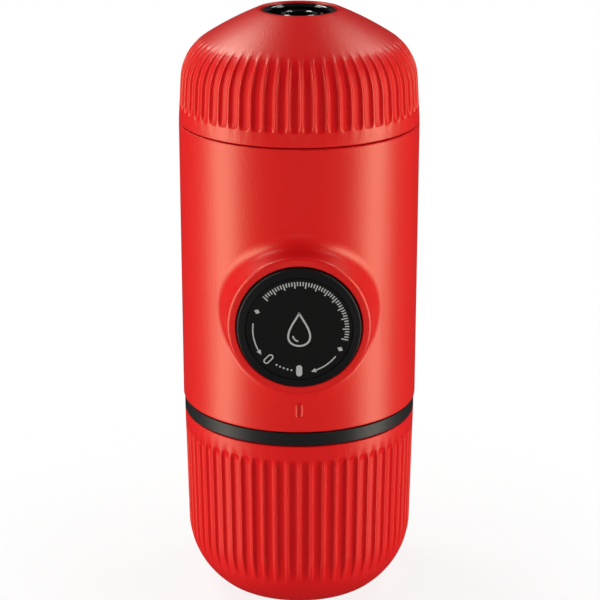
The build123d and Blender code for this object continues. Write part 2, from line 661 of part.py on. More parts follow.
def make_pump_housing():
    """Cylinder on the knob's axis, spring flange with four arms, and the two upright channels."""
    housing = knob_disc(PUMP_RADIUS, PUMP_FRONT, PUMP_BACK)
    housing += knob_disc(FLANGE_RADIUS, FLANGE_FRONT, FLANGE_BACK)
    for angle in pump_screw_angles():
        arm = Box(PUMP_SCREW_CIRCLE, FLANGE_THICKNESS, FLANGE_ARM_WIDTH, align=(Align.MIN, Align.MIN, Align.CENTER))
        housing += around_knob(angle) * Pos(0, FLANGE_FRONT, KNOB_AXIS_HEIGHT) * arm
        housing += at_pump_screw(angle, FLANGE_FRONT, disc(FLANGE_ARM_WIDTH / 2, 0, FLANGE_THICKNESS))
    housing += channel(SOCKET_PLATE_TOP, BREW_FLOOR_BOTTOM)
    housing += channel_foot(SOCKET_PLATE_TOP, SOCKET_PLATE_TOP + CHANNEL_FOOT_THICKNESS)
    housing += channel_foot(BREW_FLOOR_BOTTOM - CHANNEL_FOOT_THICKNESS, BREW_FLOOR_BOTTOM)
    housing -= knob_disc(PISTON_BORE_RADIUS, PUMP_FRONT, PUMP_END)
    housing -= Pos(0, PORT_BACK, 0) * disc(PORT_RADIUS, SOCKET_PLATE_TOP, BREW_FLOOR_BOTTOM)
    housing -= Pos(0, PORT_BACK, 0) * disc(
        VALVE_RADIUS + NEST_GAP, SOCKET_PLATE_TOP, SOCKET_PLATE_TOP + VALVE_POCKET_HEIGHT
    )
    for angle in pump_screw_angles():
        housing -= at_pump_screw(angle, FLANGE_FRONT, disc(SCREW_RADIUS + RUNNING_FIT, 0, FLANGE_THICKNESS))
    housing -= channel_screw_holes(SOCKET_PLATE_TOP, SOCKET_PLATE_TOP + CHANNEL_FOOT_THICKNESS)
    return housing - channel_screw_holes(BREW_FLOOR_BOTTOM - CHANNEL_FOOT_THICKNESS, BREW_FLOOR_BOTTOM)


def make_pump_screws():
    one = screw(SCREW_RADIUS, PUMP_SCREW_LENGTH, SCREW_HEAD_RADIUS, SCREW_HEAD_HEIGHT)
    return [at_pump_screw(angle, FLANGE_BACK, one) for angle in pump_screw_angles()]


def make_manifold_screws():
    lower = channel_screws(SOCKET_PLATE_TOP + CHANNEL_FOOT_THICKNESS, upwards=False)
    return lower + channel_screws(BREW_FLOOR_BOTTOM - CHANNEL_FOOT_THICKNESS, upwards=True)


def make_rod_guide():
    bore = PISTON_BORE_RADIUS - RUNNING_FIT
    guide = knob_disc(bore, PUMP_FRONT, PUMP_FRONT + ROD_GUIDE_LENGTH)
    guide += knob_disc(ROD_GUIDE_FLANGE_RADIUS, PUMP_FRONT - ROD_GUIDE_FLANGE, PUMP_FRONT)
    return guide - knob_disc(
        ROD_RADIUS + RUNNING_FIT, PUMP_FRONT - ROD_GUIDE_FLANGE, PUMP_FRONT + ROD_GUIDE_LENGTH
    )


def make_return_spring():
    """Coil between the pump flange and the knob's web, at its locked length."""
    front = KNOB_WEB_BACK + NEST_GAP + SPRING_WIRE
    back = FLANGE_FRONT - NEST_GAP - SPRING_WIRE
    path = Helix(pitch=(back - front) / SPRING_TURNS, height=back - front, radius=SPRING_RADIUS)
    section = Plane(origin=path @ 0, z_dir=path % 0) * Circle(SPRING_WIRE)
    coil = sweep(section, path=path, is_frenet=True)
    return Pos(0, front, KNOB_AXIS_HEIGHT) * Rot(-90, 0, 0) * coil


def umbrella_valve(radius, thickness, stem_radius, stem_length):
    """Silicone disc with its stem downwards."""
    return disc(radius, 0, thickness) + disc(stem_radius, -stem_length, 0)


def make_inlet_valve():
    valve = umbrella_valve(VALVE_RADIUS, VALVE_THICKNESS, VALVE_STEM_RADIUS, VALVE_STEM_LENGTH)
    return Pos(0, PORT_BACK, SOCKET_PLATE_TOP) * valve


def make_outlet_valve():
    valve = umbrella_valve(VALVE_RADIUS, VALVE_THICKNESS, VALVE_STEM_RADIUS, VALVE_STEM_LENGTH)
    return Pos(0, PORT_BACK, BREW_FLOOR_TOP) * valve


def make_vent_valve():
    valve = umbrella_valve(VENT_RADIUS, VALVE_THICKNESS, VENT_HOLE_RADIUS, SOCKET_PLATE + VALVE_THICKNESS)
    return Pos(0, VENT_PLACE, SOCKET_PLATE_BOTTOM) * Rot(180, 0, 0) * valve


def make_intake_strainer():
    """Slotted cap under the suction port."""
    bottom = SOCKET_PLATE_BOTTOM - STRAINER_HEIGHT
    cap = disc(STRAINER_RADIUS, bottom, SOCKET_PLATE_BOTTOM)
    cap -= disc(STRAINER_RADIUS - STRAINER_WALL, bottom + STRAINER_WALL, SOCKET_PLATE_BOTTOM)
    slot = Pos(STRAINER_RADIUS, 0, bottom + STRAINER_WALL) * Box(
        2 * STRAINER_WALL + 1,
        STRAINER_SLOT_WIDTH,
        STRAINER_HEIGHT - 2 * STRAINER_WALL,
        align=(Align.CENTER, Align.CENTER, Align.MIN),
    )
    cap -= [Rot(0, 0, 360 / STRAINER_SLOTS * index) * slot for index in range(STRAINER_SLOTS)]
    return Pos(0, PORT_BACK, 0) * cap


def make_brew_head():
    """Floor, water chamber and threaded neck that holds the filter basket."""
    top = BODY_TOP - BREW_TOP_GAP
    head = disc(INNER_RADIUS, BREW_FLOOR_BOTTOM, top) + disc(NECK_RADIUS, top, NECK_TOP)
    head -= disc(NECK_BORE_RADIUS, SCREEN_LEDGE_HEIGHT, NECK_TOP)
    head -= ring(CHAMBER_RADIUS, CHAMBER_POST_RADIUS, BREW_FLOOR_TOP, SCREEN_LEDGE_HEIGHT)
    screw_depth = SHOWER_SCREW_LENGTH + RUNNING_FIT
    head -= disc(SHOWER_SCREW_RADIUS + RUNNING_FIT, SCREEN_TOP - screw_depth, SCREEN_LEDGE_HEIGHT)
    head -= Pos(0, PORT_BACK, 0) * disc(PORT_RADIUS, BREW_FLOOR_BOTTOM, BREW_FLOOR_TOP)
    return head - channel_screw_holes(BREW_FLOOR_BOTTOM, BREW_FLOOR_BOTTOM + CHANNEL_SCREW_BITE + RUNNING_FIT)


def make_shower_screen():
    screen = disc(NECK_BORE_RADIUS - NEST_GAP, SCREEN_LEDGE_HEIGHT, SCREEN_TOP)
    holes = hole_rings(
        SCREEN_HOLE_RADIUS, SCREEN_HOLE_SPACING, SCREEN_HOLE_RINGS, SCREEN_LEDGE_HEIGHT, SCREEN_TOP
    )
    middle = disc(SHOWER_SCREW_RADIUS + RUNNING_FIT, SCREEN_LEDGE_HEIGHT, SCREEN_TOP)
    return screen - [middle] - holes[1:]


def make_shower_screw():
    return Pos(0, 0, SCREEN_TOP) * screw(
        SHOWER_SCREW_RADIUS, SHOWER_SCREW_LENGTH, SHOWER_SCREW_HEAD_RADIUS, SHOWER_SCREW_HEAD_HEIGHT
    )


def make_brew_gasket():
    outer = NECK_BORE_RADIUS - NEST_GAP
    return ring(outer, outer - BREW_GASKET_WIDTH, SCREEN_TOP, SCREEN_TOP + BREW_GASKET_HEIGHT)


# ---------------------------------------------------------------- piston and knob

def make_piston_rod():
    rod = knob_disc(ROD_RADIUS, ROD_SHOULDER, PISTON_HEAD_FRONT)
    rod += knob_disc(ROD_SPIGOT_RADIUS, ROD_FRONT, ROD_SHOULDER)
    rod += knob_disc(ROD_SPIGOT_RADIUS, PISTON_HEAD_FRONT, PISTON_HEAD_FRONT + ROD_STUD_LENGTH)
    return rod - knob_disc(KNOB_SCREW_RADIUS + RUNNING_FIT, ROD_FRONT, ROD_FRONT + KNOB_SCREW_LENGTH + RUNNING_FIT)


def make_piston_head():
    radius = PISTON_BORE_RADIUS - PISTON_HEAD_CLEARANCE
    head = knob_disc(radius, PISTON_HEAD_FRONT, PISTON_HEAD_BACK)
    head -= knob_disc(
        ROD_SPIGOT_RADIUS + RUNNING_FIT, PISTON_HEAD_FRONT, PISTON_HEAD_FRONT + ROD_STUD_LENGTH + RUNNING_FIT
    )
    middle = (PISTON_HEAD_FRONT + PISTON_HEAD_BACK) / 2
    half = PISTON_SEAL_SECTION + RUNNING_FIT
    floor = PISTON_BORE_RADIUS - RUNNING_FIT - 2 * half
    return head - knob_ring(radius, floor, middle - half, middle + half)


def make_piston_seal():
    middle = (PISTON_HEAD_FRONT + PISTON_HEAD_BACK) / 2
    seal = Torus(PISTON_BORE_RADIUS - RUNNING_FIT - PISTON_SEAL_SECTION, PISTON_SEAL_SECTION)
    return Pos(0, middle, KNOB_AXIS_HEIGHT) * Rot(-90, 0, 0) * seal


def make_knob_screw():
    one = screw(KNOB_SCREW_RADIUS, KNOB_SCREW_LENGTH, KNOB_SCREW_HEAD_RADIUS, KNOB_SCREW_HEAD_HEIGHT)
    return Pos(0, ROD_FRONT, KNOB_AXIS_HEIGHT) * Rot(90, 0, 0) * one


def make_knob_body():
    """Head with the rounded edge, web on the rod, skirt round the spring, and bayonet lugs."""
    bevel_back = KNOB_FACE + KNOB_BEVEL_DROP
    head = knob_turned(
        (0, KNOB_FACE),
        (KNOB_RADIUS - KNOB_BEVEL_WIDTH, KNOB_FACE),
        (KNOB_RADIUS, bevel_back),
        (KNOB_RADIUS, KNOB_HEAD_BACK),
        (0, KNOB_HEAD_BACK),
    )
    knob = fillet(knob_edges_at(head, KNOB_RADIUS, bevel_back), KNOB_EDGE_ROUND)
    knob += knob_disc(KNOB_SKIRT_RADIUS, KNOB_HEAD_BACK, KNOB_SKIRT_END)
    knob -= knob_disc(KNOB_SKIRT_RADIUS - KNOB_SKIRT_WALL, KNOB_WEB_BACK, KNOB_SKIRT_END)
    knob -= knob_disc(KNOB_CAP_RADIUS + NEST_GAP, KNOB_FACE, KNOB_CAP_BACK + NEST_GAP)
    knob -= knob_disc(KNOB_SCREW_HEAD_RADIUS + SLIDING_GAP, KNOB_FACE, KNOB_WEB_FRONT)
    knob -= knob_disc(ROD_SPIGOT_RADIUS + RUNNING_FIT, KNOB_FACE, KNOB_WEB_BACK)
    for index in range(LUG_COUNT):
        start = LUG_FIRST_ANGLE + 360 / LUG_COUNT * index - LUG_ANGLE / 2
        inner = KNOB_SKIRT_RADIUS - KNOB_SKIRT_WALL / 2
        knob += knob_sector(LUG_RADIUS, inner, LUG_FRONT, KNOB_SKIRT_END, start, LUG_ANGLE)
    return knob


def make_knob_cap():
    cap = knob_disc(KNOB_CAP_RADIUS, KNOB_CAP_FRONT, KNOB_CAP_BACK)
    return chamfer(knob_edges_at(cap, KNOB_CAP_RADIUS, KNOB_CAP_FRONT), KNOB_CAP_CHAMFER)


# ---------------------------------------------------------------- filter basket

def make_filter_basket():
    """Coffee basket: open mouth down on the brew gasket, holed end up towards the outlet."""
    basket = disc(BASKET_RADIUS, BASKET_BOTTOM, BASKET_TOP)
    basket -= disc(BASKET_RADIUS - BASKET_WALL, BASKET_BOTTOM, BASKET_TOP - BASKET_END)
    groove = BASKET_BOTTOM + BASKET_SEAL_RISE
    basket -= ring(
        BASKET_RADIUS, BASKET_RADIUS - BASKET_SEAL_DEPTH, groove, groove + BASKET_SEAL_HEIGHT
    )
    return basket - hole_rings(
        SCREEN_HOLE_RADIUS, SCREEN_HOLE_SPACING, SCREEN_HOLE_RINGS, BASKET_TOP - BASKET_END, BASKET_TOP
    )


def make_basket_screen():
    top = BASKET_TOP - BASKET_END
    return disc(BASKET_RADIUS - BASKET_WALL - NEST_GAP, top - FILTER_THICKNESS, top)


def make_basket_seal():
    groove = BASKET_BOTTOM + BASKET_SEAL_RISE
    return ring(
        NECK_BORE_RADIUS - NEST_GAP,
        BASKET_RADIUS - BASKET_SEAL_DEPTH + RUNNING_FIT,
        groove + RUNNING_FIT,
        groove + BASKET_SEAL_HEIGHT - RUNNING_FIT,
    )


# ---------------------------------------------------------------- outlet head

def make_outlet_head_shell():
    """Fluted dome with its rounded outlet opening."""
    shell = dome_form(0, DOME_BOTTOM, DOME_TOP) - dome_form(DOME_WALL, DOME_BOTTOM, DOME_TOP)
    shell -= disc(DOME_OPENING_RADIUS, DOME_BOTTOM, DOME_TOP)
    shell = fillet(edges_at(shell, DOME_RIM_RADIUS, DOME_TOP), DOME_LIP_ROUND)
    shell = fillet(edges_at(shell, DOME_OPENING_RADIUS, DOME_TOP), DOME_LIP_EDGE)
    shell = fillet(edges_at(shell, BODY_RADIUS, DOME_BOTTOM), SEAM_ROUND)
    return shell - flute_cutters(
        dome_shoulder_centre(), DOME_SHOULDER_RADIUS, DOME_DRAFT, DOME_FLUTE_FADE, DOME_FLUTE_BOTTOM, 1
    )


def make_portafilter():
    """Threaded sleeve that fills the dome, holds the basket's end and seats the nozzle."""
    bottom = DOME_BOTTOM + PORTAFILTER_FOOT_GAP
    top = DOME_TOP - PORTAFILTER_TOP_DROP
    sleeve = dome_form(DOME_WALL + NEST_GAP * 2, bottom, top)
    sleeve -= disc(NECK_RADIUS + SLIDING_GAP, bottom, HEAD_STEP_HEIGHT)
    sleeve -= disc(NECK_BORE_RADIUS, HEAD_STEP_HEIGHT, BASKET_TOP + SLIDING_GAP)
    sleeve -= disc(NOZZLE_RADIUS + NEST_GAP, NOZZLE_SEAT_HEIGHT, top)
    return sleeve - disc(SPOUT_RADIUS, BASKET_TOP, NOZZLE_SEAT_HEIGHT)


def make_head_gasket():
    return ring(
        NECK_RADIUS - NEST_GAP,
        NECK_BORE_RADIUS + NEST_GAP,
        HEAD_STEP_HEIGHT - HEAD_GASKET_HEIGHT,
        HEAD_STEP_HEIGHT,
    )


def make_nozzle():
    """Outlet dish with its hub, spout bore and curved vanes."""
    dish_floor = NOZZLE_TOP - NOZZLE_DISH_DEPTH
    bottom = NOZZLE_SEAT_HEIGHT
    nozzle = disc(NOZZLE_RADIUS, bottom, NOZZLE_TOP)
    nozzle = fillet(edges_at(nozzle, NOZZLE_RADIUS, NOZZLE_TOP), NOZZLE_RIM * 0.4)
    dish_radius = NOZZLE_RADIUS - NOZZLE_RIM
    hub_top = NOZZLE_TOP - NOZZLE_HUB_DROP
    nozzle -= turned(
        (0, hub_top),
        (NOZZLE_HUB_RADIUS, hub_top),
        (NOZZLE_HUB_RADIUS, dish_floor),
        (dish_radius - NOZZLE_RIM, dish_floor),
        (dish_radius, dish_floor + NOZZLE_RIM),
        (dish_radius, NOZZLE_TOP),
        (0, NOZZLE_TOP),
    )
    vane_top = NOZZLE_TOP - VANE_DROP
    vane = ring(VANE_CURVE_RADIUS, VANE_CURVE_RADIUS - VANE_THICKNESS, dish_floor - 0.2, vane_top)
    vane = Pos((NOZZLE_HUB_RADIUS + dish_radius) / 2, 0, 0) * vane
    trough = ring(dish_radius + NOZZLE_RIM / 2, NOZZLE_HUB_RADIUS - 0.2, dish_floor - 0.2, vane_top)
    half = Pos(0, 2 * NOZZLE_RADIUS, vane_top) * Box(4 * NOZZLE_RADIUS, 4 * NOZZLE_RADIUS, 4 * NOZZLE_RADIUS)
    blade = vane & trough & half
    nozzle += [Rot(0, 0, 360 / VANE_COUNT * index) * blade for index in range(VANE_COUNT)]
    nozzle -= disc(SPOUT_RADIUS, hub_top + NOZZLE_HUB_DROP - SPOUT_DEPTH, NOZZLE_TOP)
    nozzle -= disc(OUTLET_RADIUS, bottom, NOZZLE_TOP)
    nozzle -= disc(CREMA_VALVE_RADIUS + NEST_GAP, bottom, bottom + CREMA_POCKET_HEIGHT)
    half_groove = NOZZLE_SEAL_SECTION + RUNNING_FIT
    return nozzle - ring(
        NOZZLE_SEAL_RADIUS + half_groove, NOZZLE_SEAL_RADIUS - half_groove, bottom, bottom + 2 * half_groove
    )


def make_nozzle_seal():
    height = NOZZLE_SEAT_HEIGHT + NOZZLE_SEAL_SECTION
    return Pos(0, 0, height) * Torus(NOZZLE_SEAL_RADIUS, NOZZLE_SEAL_SECTION)


def make_crema_valve():
    """Slit silicone disc that only opens under pressure."""
    top = NOZZLE_SEAT_HEIGHT + CREMA_VALVE_THICKNESS
    return ring(CREMA_VALVE_RADIUS, OUTLET_RADIUS / 4, NOZZLE_SEAT_HEIGHT, top)


# ---------------------------------------------------------------- build and write

PIECES = {
    "cup_shell": make_cup_shell,
    "cup_liner": make_cup_liner,
    "water_tank": make_water_tank,
    "cup_seal": make_cup_seal,
    "tank_seal": make_tank_seal,
    "body_shell": make_body_shell,
    "lock_ring": make_lock_ring,
    "tank_socket": make_tank_socket,
    "pump_housing": make_pump_housing,
    "pump_screws": make_pump_screws,
    "manifold_screws": make_manifold_screws,
    "rod_guide": make_rod_guide,
    "return_spring": make_return_spring,
    "inlet_valve": make_inlet_valve,
    "outlet_valve": make_outlet_valve,
    "vent_valve": make_vent_valve,
    "intake_strainer": make_intake_strainer,
    "brew_head": make_brew_head,
    "shower_screen": make_shower_screen,
    "shower_screw": make_shower_screw,
    "brew_gasket": make_brew_gasket,
    "piston_rod": make_piston_rod,
    "piston_head": make_piston_head,
    "piston_seal": make_piston_seal,
    "knob_screw": make_knob_screw,
    "knob_body": make_knob_body,
    "knob_cap": make_knob_cap,
    "filter_basket": make_filter_basket,
    "basket_screen": make_basket_screen,
    "basket_seal": make_basket_seal,
    "outlet_head_shell": make_outlet_head_shell,
    "portafilter": make_portafilter,
    "head_gasket": make_head_gasket,
    "nozzle": make_nozzle,
    "nozzle_seal": make_nozzle_seal,
    "crema_valve": make_crema_valve,
}

os.makedirs("parts", exist_ok=True)
for name, make in PIECES.items():
    piece = make()
    if isinstance(piece, list):
        piece = Compound(children=piece)
    export_step(piece, f"parts/{name}.step")
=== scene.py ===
"""Looks of a handheld manual espresso maker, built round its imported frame.

Everything is in metres in the frame's own axes: +Z up the body, -Y out of the pump knob.
"""

from __future__ import annotations

import json
import logging
import math
from dataclasses import dataclass, replace
from enum import Enum

import bmesh
import bpy
from mathutils import Matrix, Vector

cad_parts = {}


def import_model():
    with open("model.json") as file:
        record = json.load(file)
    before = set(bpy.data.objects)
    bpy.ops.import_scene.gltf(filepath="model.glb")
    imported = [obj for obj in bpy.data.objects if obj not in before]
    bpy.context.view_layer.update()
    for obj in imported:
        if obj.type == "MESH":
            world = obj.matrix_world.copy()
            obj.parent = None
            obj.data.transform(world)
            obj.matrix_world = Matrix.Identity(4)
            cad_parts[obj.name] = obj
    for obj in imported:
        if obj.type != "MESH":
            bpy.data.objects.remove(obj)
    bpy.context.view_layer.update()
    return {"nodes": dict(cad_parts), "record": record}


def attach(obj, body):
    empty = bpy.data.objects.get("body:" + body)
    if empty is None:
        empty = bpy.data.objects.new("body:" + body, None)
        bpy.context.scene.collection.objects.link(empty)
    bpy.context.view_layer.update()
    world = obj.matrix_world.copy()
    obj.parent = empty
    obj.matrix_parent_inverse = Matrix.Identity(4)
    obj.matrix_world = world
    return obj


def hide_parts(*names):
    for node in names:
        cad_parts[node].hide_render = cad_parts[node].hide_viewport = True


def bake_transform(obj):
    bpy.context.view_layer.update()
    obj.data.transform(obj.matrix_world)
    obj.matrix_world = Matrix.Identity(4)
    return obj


Node = bpy.types.Node
Socket = bpy.types.NodeSocket
Mesh = bpy.types.Mesh
Piece = bpy.types.Object
Inputs = dict[str | int, object]
Colour = tuple[float, float, float]
Place = tuple[float, float, float]
Point = tuple[float, float]
Outline = list[Point]

LOG = logging.getLogger("espresso_maker")
MM = 0.001
FULL_TURN = 2 * math.pi
UNIT_GRID_MIDDLE = 0.5
CUTTER_AWAY = 50 * MM
WHITE = (1.0, 1.0, 1.0, 1.0)
OUT_OF_THE_KNOB = (0.0, -1.0, 0.0)
KNOB_HEIGHT = 84.3 * MM


# ---------------------------------------------------------------- node trees


class TreeBuilder:
    """Adds and links nodes in one tree.

    A Mix node's sockets share their names, so its colours are found by number.
    """

    mix_share: int = 0
    mix_first_colour: int = 6
    mix_second_colour: int = 7
    mixed_colour_out: int = 2

    def __init__(self, tree: bpy.types.NodeTree) -> None:
        """Keep the tree that is written to."""
        self.tree = tree

    def add(self, kind: str, inputs: Inputs | None = None, **settings: object) -> Node:
        """Add one node.

        Args:
            kind: Blender's node type name.
            inputs: a plain value or another node's output, by the input's name or number.
            settings: properties to set on the node before its inputs.

        Returns:
            The new node.
        """
        node = self.tree.nodes.new(kind)
        for name, value in settings.items():
            setattr(node, name, value)
        self.fill(node, inputs or {})
        return node

    def out(self, kind: str, inputs: Inputs | None = None, **settings: object) -> Socket:
        """Add one node and give its first output."""
        return self.add(kind, inputs, **settings).outputs[0]

    def fill(self, node: Node, inputs: Inputs) -> None:
        """Link a node's inputs, or set their plain values.

        Args:
            node: the node to fill.
            inputs: a plain value or another node's output, by the input's name or number.
        """
        for name, value in inputs.items():
            if isinstance(value, Socket):
                self.tree.links.new(value, node.inputs[name])
            else:
                node.inputs[name].default_value = value

    def math(self, operation: str, *numbers: object) -> Socket:
        """Result of a Math node on up to three numbers or outputs."""
        return self.out("ShaderNodeMath", dict(enumerate(numbers)), operation=operation)

    def mixed_colour(self, share: object, first: object, second: object) -> Socket:
        """Mix two colours.

        Args:
            share: how much of the second colour there is.
            first: a colour with its alpha, or an output.
            second: the other one.

        Returns:
            The mixed colour.
        """
        inputs = {self.mix_share: share, self.mix_first_colour: first, self.mix_second_colour: second}
        return self.add("ShaderNodeMix", inputs, data_type="RGBA").outputs[self.mixed_colour_out]

    def mixed_shader(self, share: Socket, first: Socket, second: Socket) -> Socket:
        """Mix two shaders by the share of the second."""
        return self.out("ShaderNodeMixShader", {0: share, 1: first, 2: second})


# ---------------------------------------------------------------- finishes


class Slot(Enum):
    """Material slots that the frame's record names."""

    RED_SHELL = "red_shell"
    COLLAR_BLACK = "collar_black"
    KNOB_BLACK = "knob_black"
    KNOB_FACE = "knob_face"
    NOZZLE_BLACK = "nozzle_black"
    LINER_GREY = "liner_grey"
    INNER_BLACK = "inner_black"
    STEEL = "steel"
    SILICONE = "silicone"


class SharedGroups:
    """Shader node groups that every finish places."""

    fine_detail: float = 2.0
    tone_scale: float = 0.02
    tone_detail: float = 3.0
    specks_per_metre: float = 900.0
    speck_detail: float = 5.0

    @staticmethod
    def started(
        name: str, inputs: tuple[str, ...], outputs: tuple[str, ...]
    ) -> tuple[TreeBuilder, Node, Node]:
        """Start a group whose inputs and outputs are numbers.

        Args:
            name: the group's name.
            inputs: names of its inputs.
            outputs: names of its outputs.

        Returns:
            The group's builder, its input node and its output node.
        """
        tree = bpy.data.node_groups.new(name, "ShaderNodeTree")
        for labels, in_out in ((inputs, "INPUT"), (outputs, "OUTPUT")):
            for label in labels:
                tree.interface.new_socket(label, in_out=in_out, socket_type="NodeSocketFloat")
        b = TreeBuilder(tree)
        return b, b.add("NodeGroupInput"), b.add("NodeGroupOutput")

    @classmethod
    def moulded_grain(cls) -> bpy.types.NodeTree:
        """Spark-eroded mould grain.

        Returns:
            A group with inputs Grains per metre and Softness, and outputs Height and Tone.
        """
        made = bpy.data.node_groups.get("moulded_grain")
        if made:
            return made
        labels = ("Grains per metre", "Softness"), ("Height", "Tone")
        b, source, result = cls.started("moulded_grain", *labels)
        place = b.add("ShaderNodeTexCoord").outputs["Object"]
        grains, softness = source.outputs[:2]
        fine = {"Vector": place, "Scale": grains, "Detail": cls.fine_detail, "Roughness": softness}
        tone_scale = b.math("MULTIPLY", grains, cls.tone_scale)
        broad = {"Vector": place, "Scale": tone_scale, "Detail": cls.tone_detail}
        height, tone = (b.out("ShaderNodeTexNoise", inputs) for inputs in (fine, broad))
        b.fill(result, {"Height": height, "Tone": tone})
        return b.tree

    @classmethod
    def settled_dust(cls) -> bpy.types.NodeTree:
        """Faint dust on what faces upwards.

        Returns:
            A group with input Amount and output Mask.
        """
        made = bpy.data.node_groups.get("settled_dust")
        if made:
            return made
        b, source, result = cls.started("settled_dust", ("Amount",), ("Mask",))
        place = b.add("ShaderNodeTexCoord").outputs["Object"]
        specks = {"Vector": place, "Scale": cls.specks_per_metre, "Detail": cls.speck_detail}
        normal = b.add("ShaderNodeNewGeometry").outputs["Normal"]
        upward = b.add("ShaderNodeSeparateXYZ", {0: normal}).outputs["Z"]
        speck = b.math("MULTIPLY", b.out("ShaderNodeTexNoise", specks), b.math("MAXIMUM", upward, 0.0))
        b.fill(result, {"Mask": b.math("MULTIPLY", speck, source.outputs["Amount"])})
        return b.tree


@dataclass(frozen=True)
class Finish:
    """A procedural finish: base colour, mould grain, faint tone shift and dust."""

    name: str
    slot: Slot
    colour: Colour
    roughness: float
    grains_per_metre: float = 3500.0
    grain_depth: float = 0.02 * MM
    grain_softness: float = 0.5
    tone_shift: float = 0.04
    roughness_shift: float = 0.06
    dust: float = 0.0
    dust_colour: Colour = (0.6, 0.58, 0.55)
    metallic: float = 0.0
    specular: float = 0.5
    specular_tint: Colour = (1.0, 1.0, 1.0)
    coat: float = 0.0
    coat_roughness: float = 0.1

    def material(self) -> bpy.types.Material:
        """Make the material, or give it back if it is there.

        Returns:
            The finish as a Blender material.
        """
        made = bpy.data.materials.get(self.name)
        if made:
            return made
        made = bpy.data.materials.new(self.name)
        made.use_nodes = True
        made.diffuse_color = (*self.colour, 1.0)
        b = TreeBuilder(made.node_tree)
        numbers = {"Grains per metre": self.grains_per_metre, "Softness": self.grain_softness}
        grain = b.add("ShaderNodeGroup", numbers, node_tree=SharedGroups.moulded_grain())
        height, tone = grain.outputs["Height"], grain.outputs["Tone"]
        least, most = self.roughness - self.roughness_shift, self.roughness + self.roughness_shift
        bump = {"Strength": 1.0, "Distance": self.grain_depth, "Height": height}
        inputs = {
            "Base Color": self.dusted_colour(b, tone),
            "Metallic": self.metallic,
            "Roughness": b.out("ShaderNodeMapRange", {"Value": tone, "To Min": least, "To Max": most}),
            "Specular IOR Level": self.specular,
            "Specular Tint": (*self.specular_tint, 1.0),
            "Coat Weight": self.coat,
            "Coat Roughness": self.coat_roughness,
            "Normal": b.out("ShaderNodeBump", bump),
        }
        b.fill(made.node_tree.nodes["Principled BSDF"], inputs)
        return made

    def dusted_colour(self, b: TreeBuilder, tone: Socket) -> Socket:
        """Colour with a slow tone shift and a little dust.

        Args:
            b: builder of the material's tree.
            tone: the slow tone, from 0 to 1.

        Returns:
            The colour of the surface.
        """
        darker = tuple(c * (1.0 - self.tone_shift) for c in self.colour)
        lighter = tuple(min(1.0, c * (1.0 + self.tone_shift)) for c in self.colour)
        clean = b.mixed_colour(tone, (*darker, 1.0), (*lighter, 1.0))
        mask = b.out("ShaderNodeGroup", {"Amount": self.dust}, node_tree=SharedGroups.settled_dust())
        return b.mixed_colour(mask, clean, (*self.dust_colour, 1.0))


RED_SHELL = Finish(
    "red_satin_shell", Slot.RED_SHELL, (0.66, 0.0055, 0.0078), roughness=0.37, roughness_shift=0.03,
    grains_per_metre=1900.0, grain_depth=0.045 * MM, tone_shift=0.02,
    specular=0.70, specular_tint=(1.0, 0.90, 0.66),
)
RED_CUP = replace(RED_SHELL, name="red_satin_cup", colour=(0.66, 0.0068, 0.0102), specular=0.42)
RED_FLUTE = replace(RED_CUP, name="red_matte_flute", specular=0.22)
COLLAR_BLACK = Finish(
    "black_satin_collar", Slot.COLLAR_BLACK, (0.0105, 0.0105, 0.0120), roughness=0.42,
    grain_depth=0.010 * MM, specular=0.35,
)
KNOB_BLACK = Finish(
    "black_satin_knob", Slot.KNOB_BLACK, (0.0065, 0.0070, 0.0078), roughness=0.38,
    grain_depth=0.010 * MM, specular=0.24,
)
KNOB_FACE = Finish(
    "black_knob_face", Slot.KNOB_FACE, (0.0065, 0.0066, 0.0070), roughness=0.46,
    grain_depth=0.008 * MM, specular=0.25,
)
NOZZLE_BLACK = Finish(
    "black_gloss_nozzle", Slot.NOZZLE_BLACK, (0.005, 0.005, 0.006), roughness=0.12, roughness_shift=0.04,
    grains_per_metre=900.0, grain_depth=0.002 * MM, coat=1.0, coat_roughness=0.03,
)
LINER_GREY = Finish(
    "grey_smooth_liner", Slot.LINER_GREY, (0.035, 0.036, 0.038), roughness=0.30, grain_depth=0.006 * MM,
)
INNER_BLACK = Finish(
    "black_filled_nylon", Slot.INNER_BLACK, (0.018, 0.018, 0.020), roughness=0.55,
    grains_per_metre=2400.0, grain_depth=0.030 * MM,
)
STEEL = Finish(
    "stainless_steel", Slot.STEEL, (0.62, 0.61, 0.60), roughness=0.40,
    grains_per_metre=1800.0, grain_depth=0.001 * MM, metallic=1.0,
)
SILICONE = Finish(
    "grey_silicone", Slot.SILICONE, (0.16, 0.16, 0.17), roughness=0.62,
    grains_per_metre=1500.0, grain_depth=0.012 * MM, dust=0.15,
)
PRINT_GREY = Finish(
    "grey_print_ink", Slot.KNOB_FACE, (0.40, 0.41, 0.42), roughness=0.5,
    grains_per_metre=6000.0, grain_depth=0.004 * MM, tone_shift=0.08,
)
NODE_FINISHES = (
    RED_SHELL, COLLAR_BLACK, KNOB_BLACK, KNOB_FACE, NOZZLE_BLACK, LINER_GREY, INNER_BLACK, STEEL, SILICONE,
)


# ---------------------------------------------------------------- meshes


def in_scene(name: str, data: bpy.types.ID) -> Piece:
    """Put a mesh, light or camera in the scene.

    Args:
        name: the object's name.
        data: the mesh, light or camera.

    Returns:
        The new object, at the origin.
    """
    made = bpy.data.objects.new(name, data)
    bpy.context.scene.collection.objects.link(made)
    return made


def turn_outwards(mesh: Mesh) -> None:
    """Turn all faces of a closed mesh outwards.

    Args:
        mesh: the mesh to correct in place.
    """
    work = bmesh.new()
    work.from_mesh(mesh)
    bmesh.ops.recalc_face_normals(work, faces=work.faces)
    work.to_mesh(mesh)
    work.free()


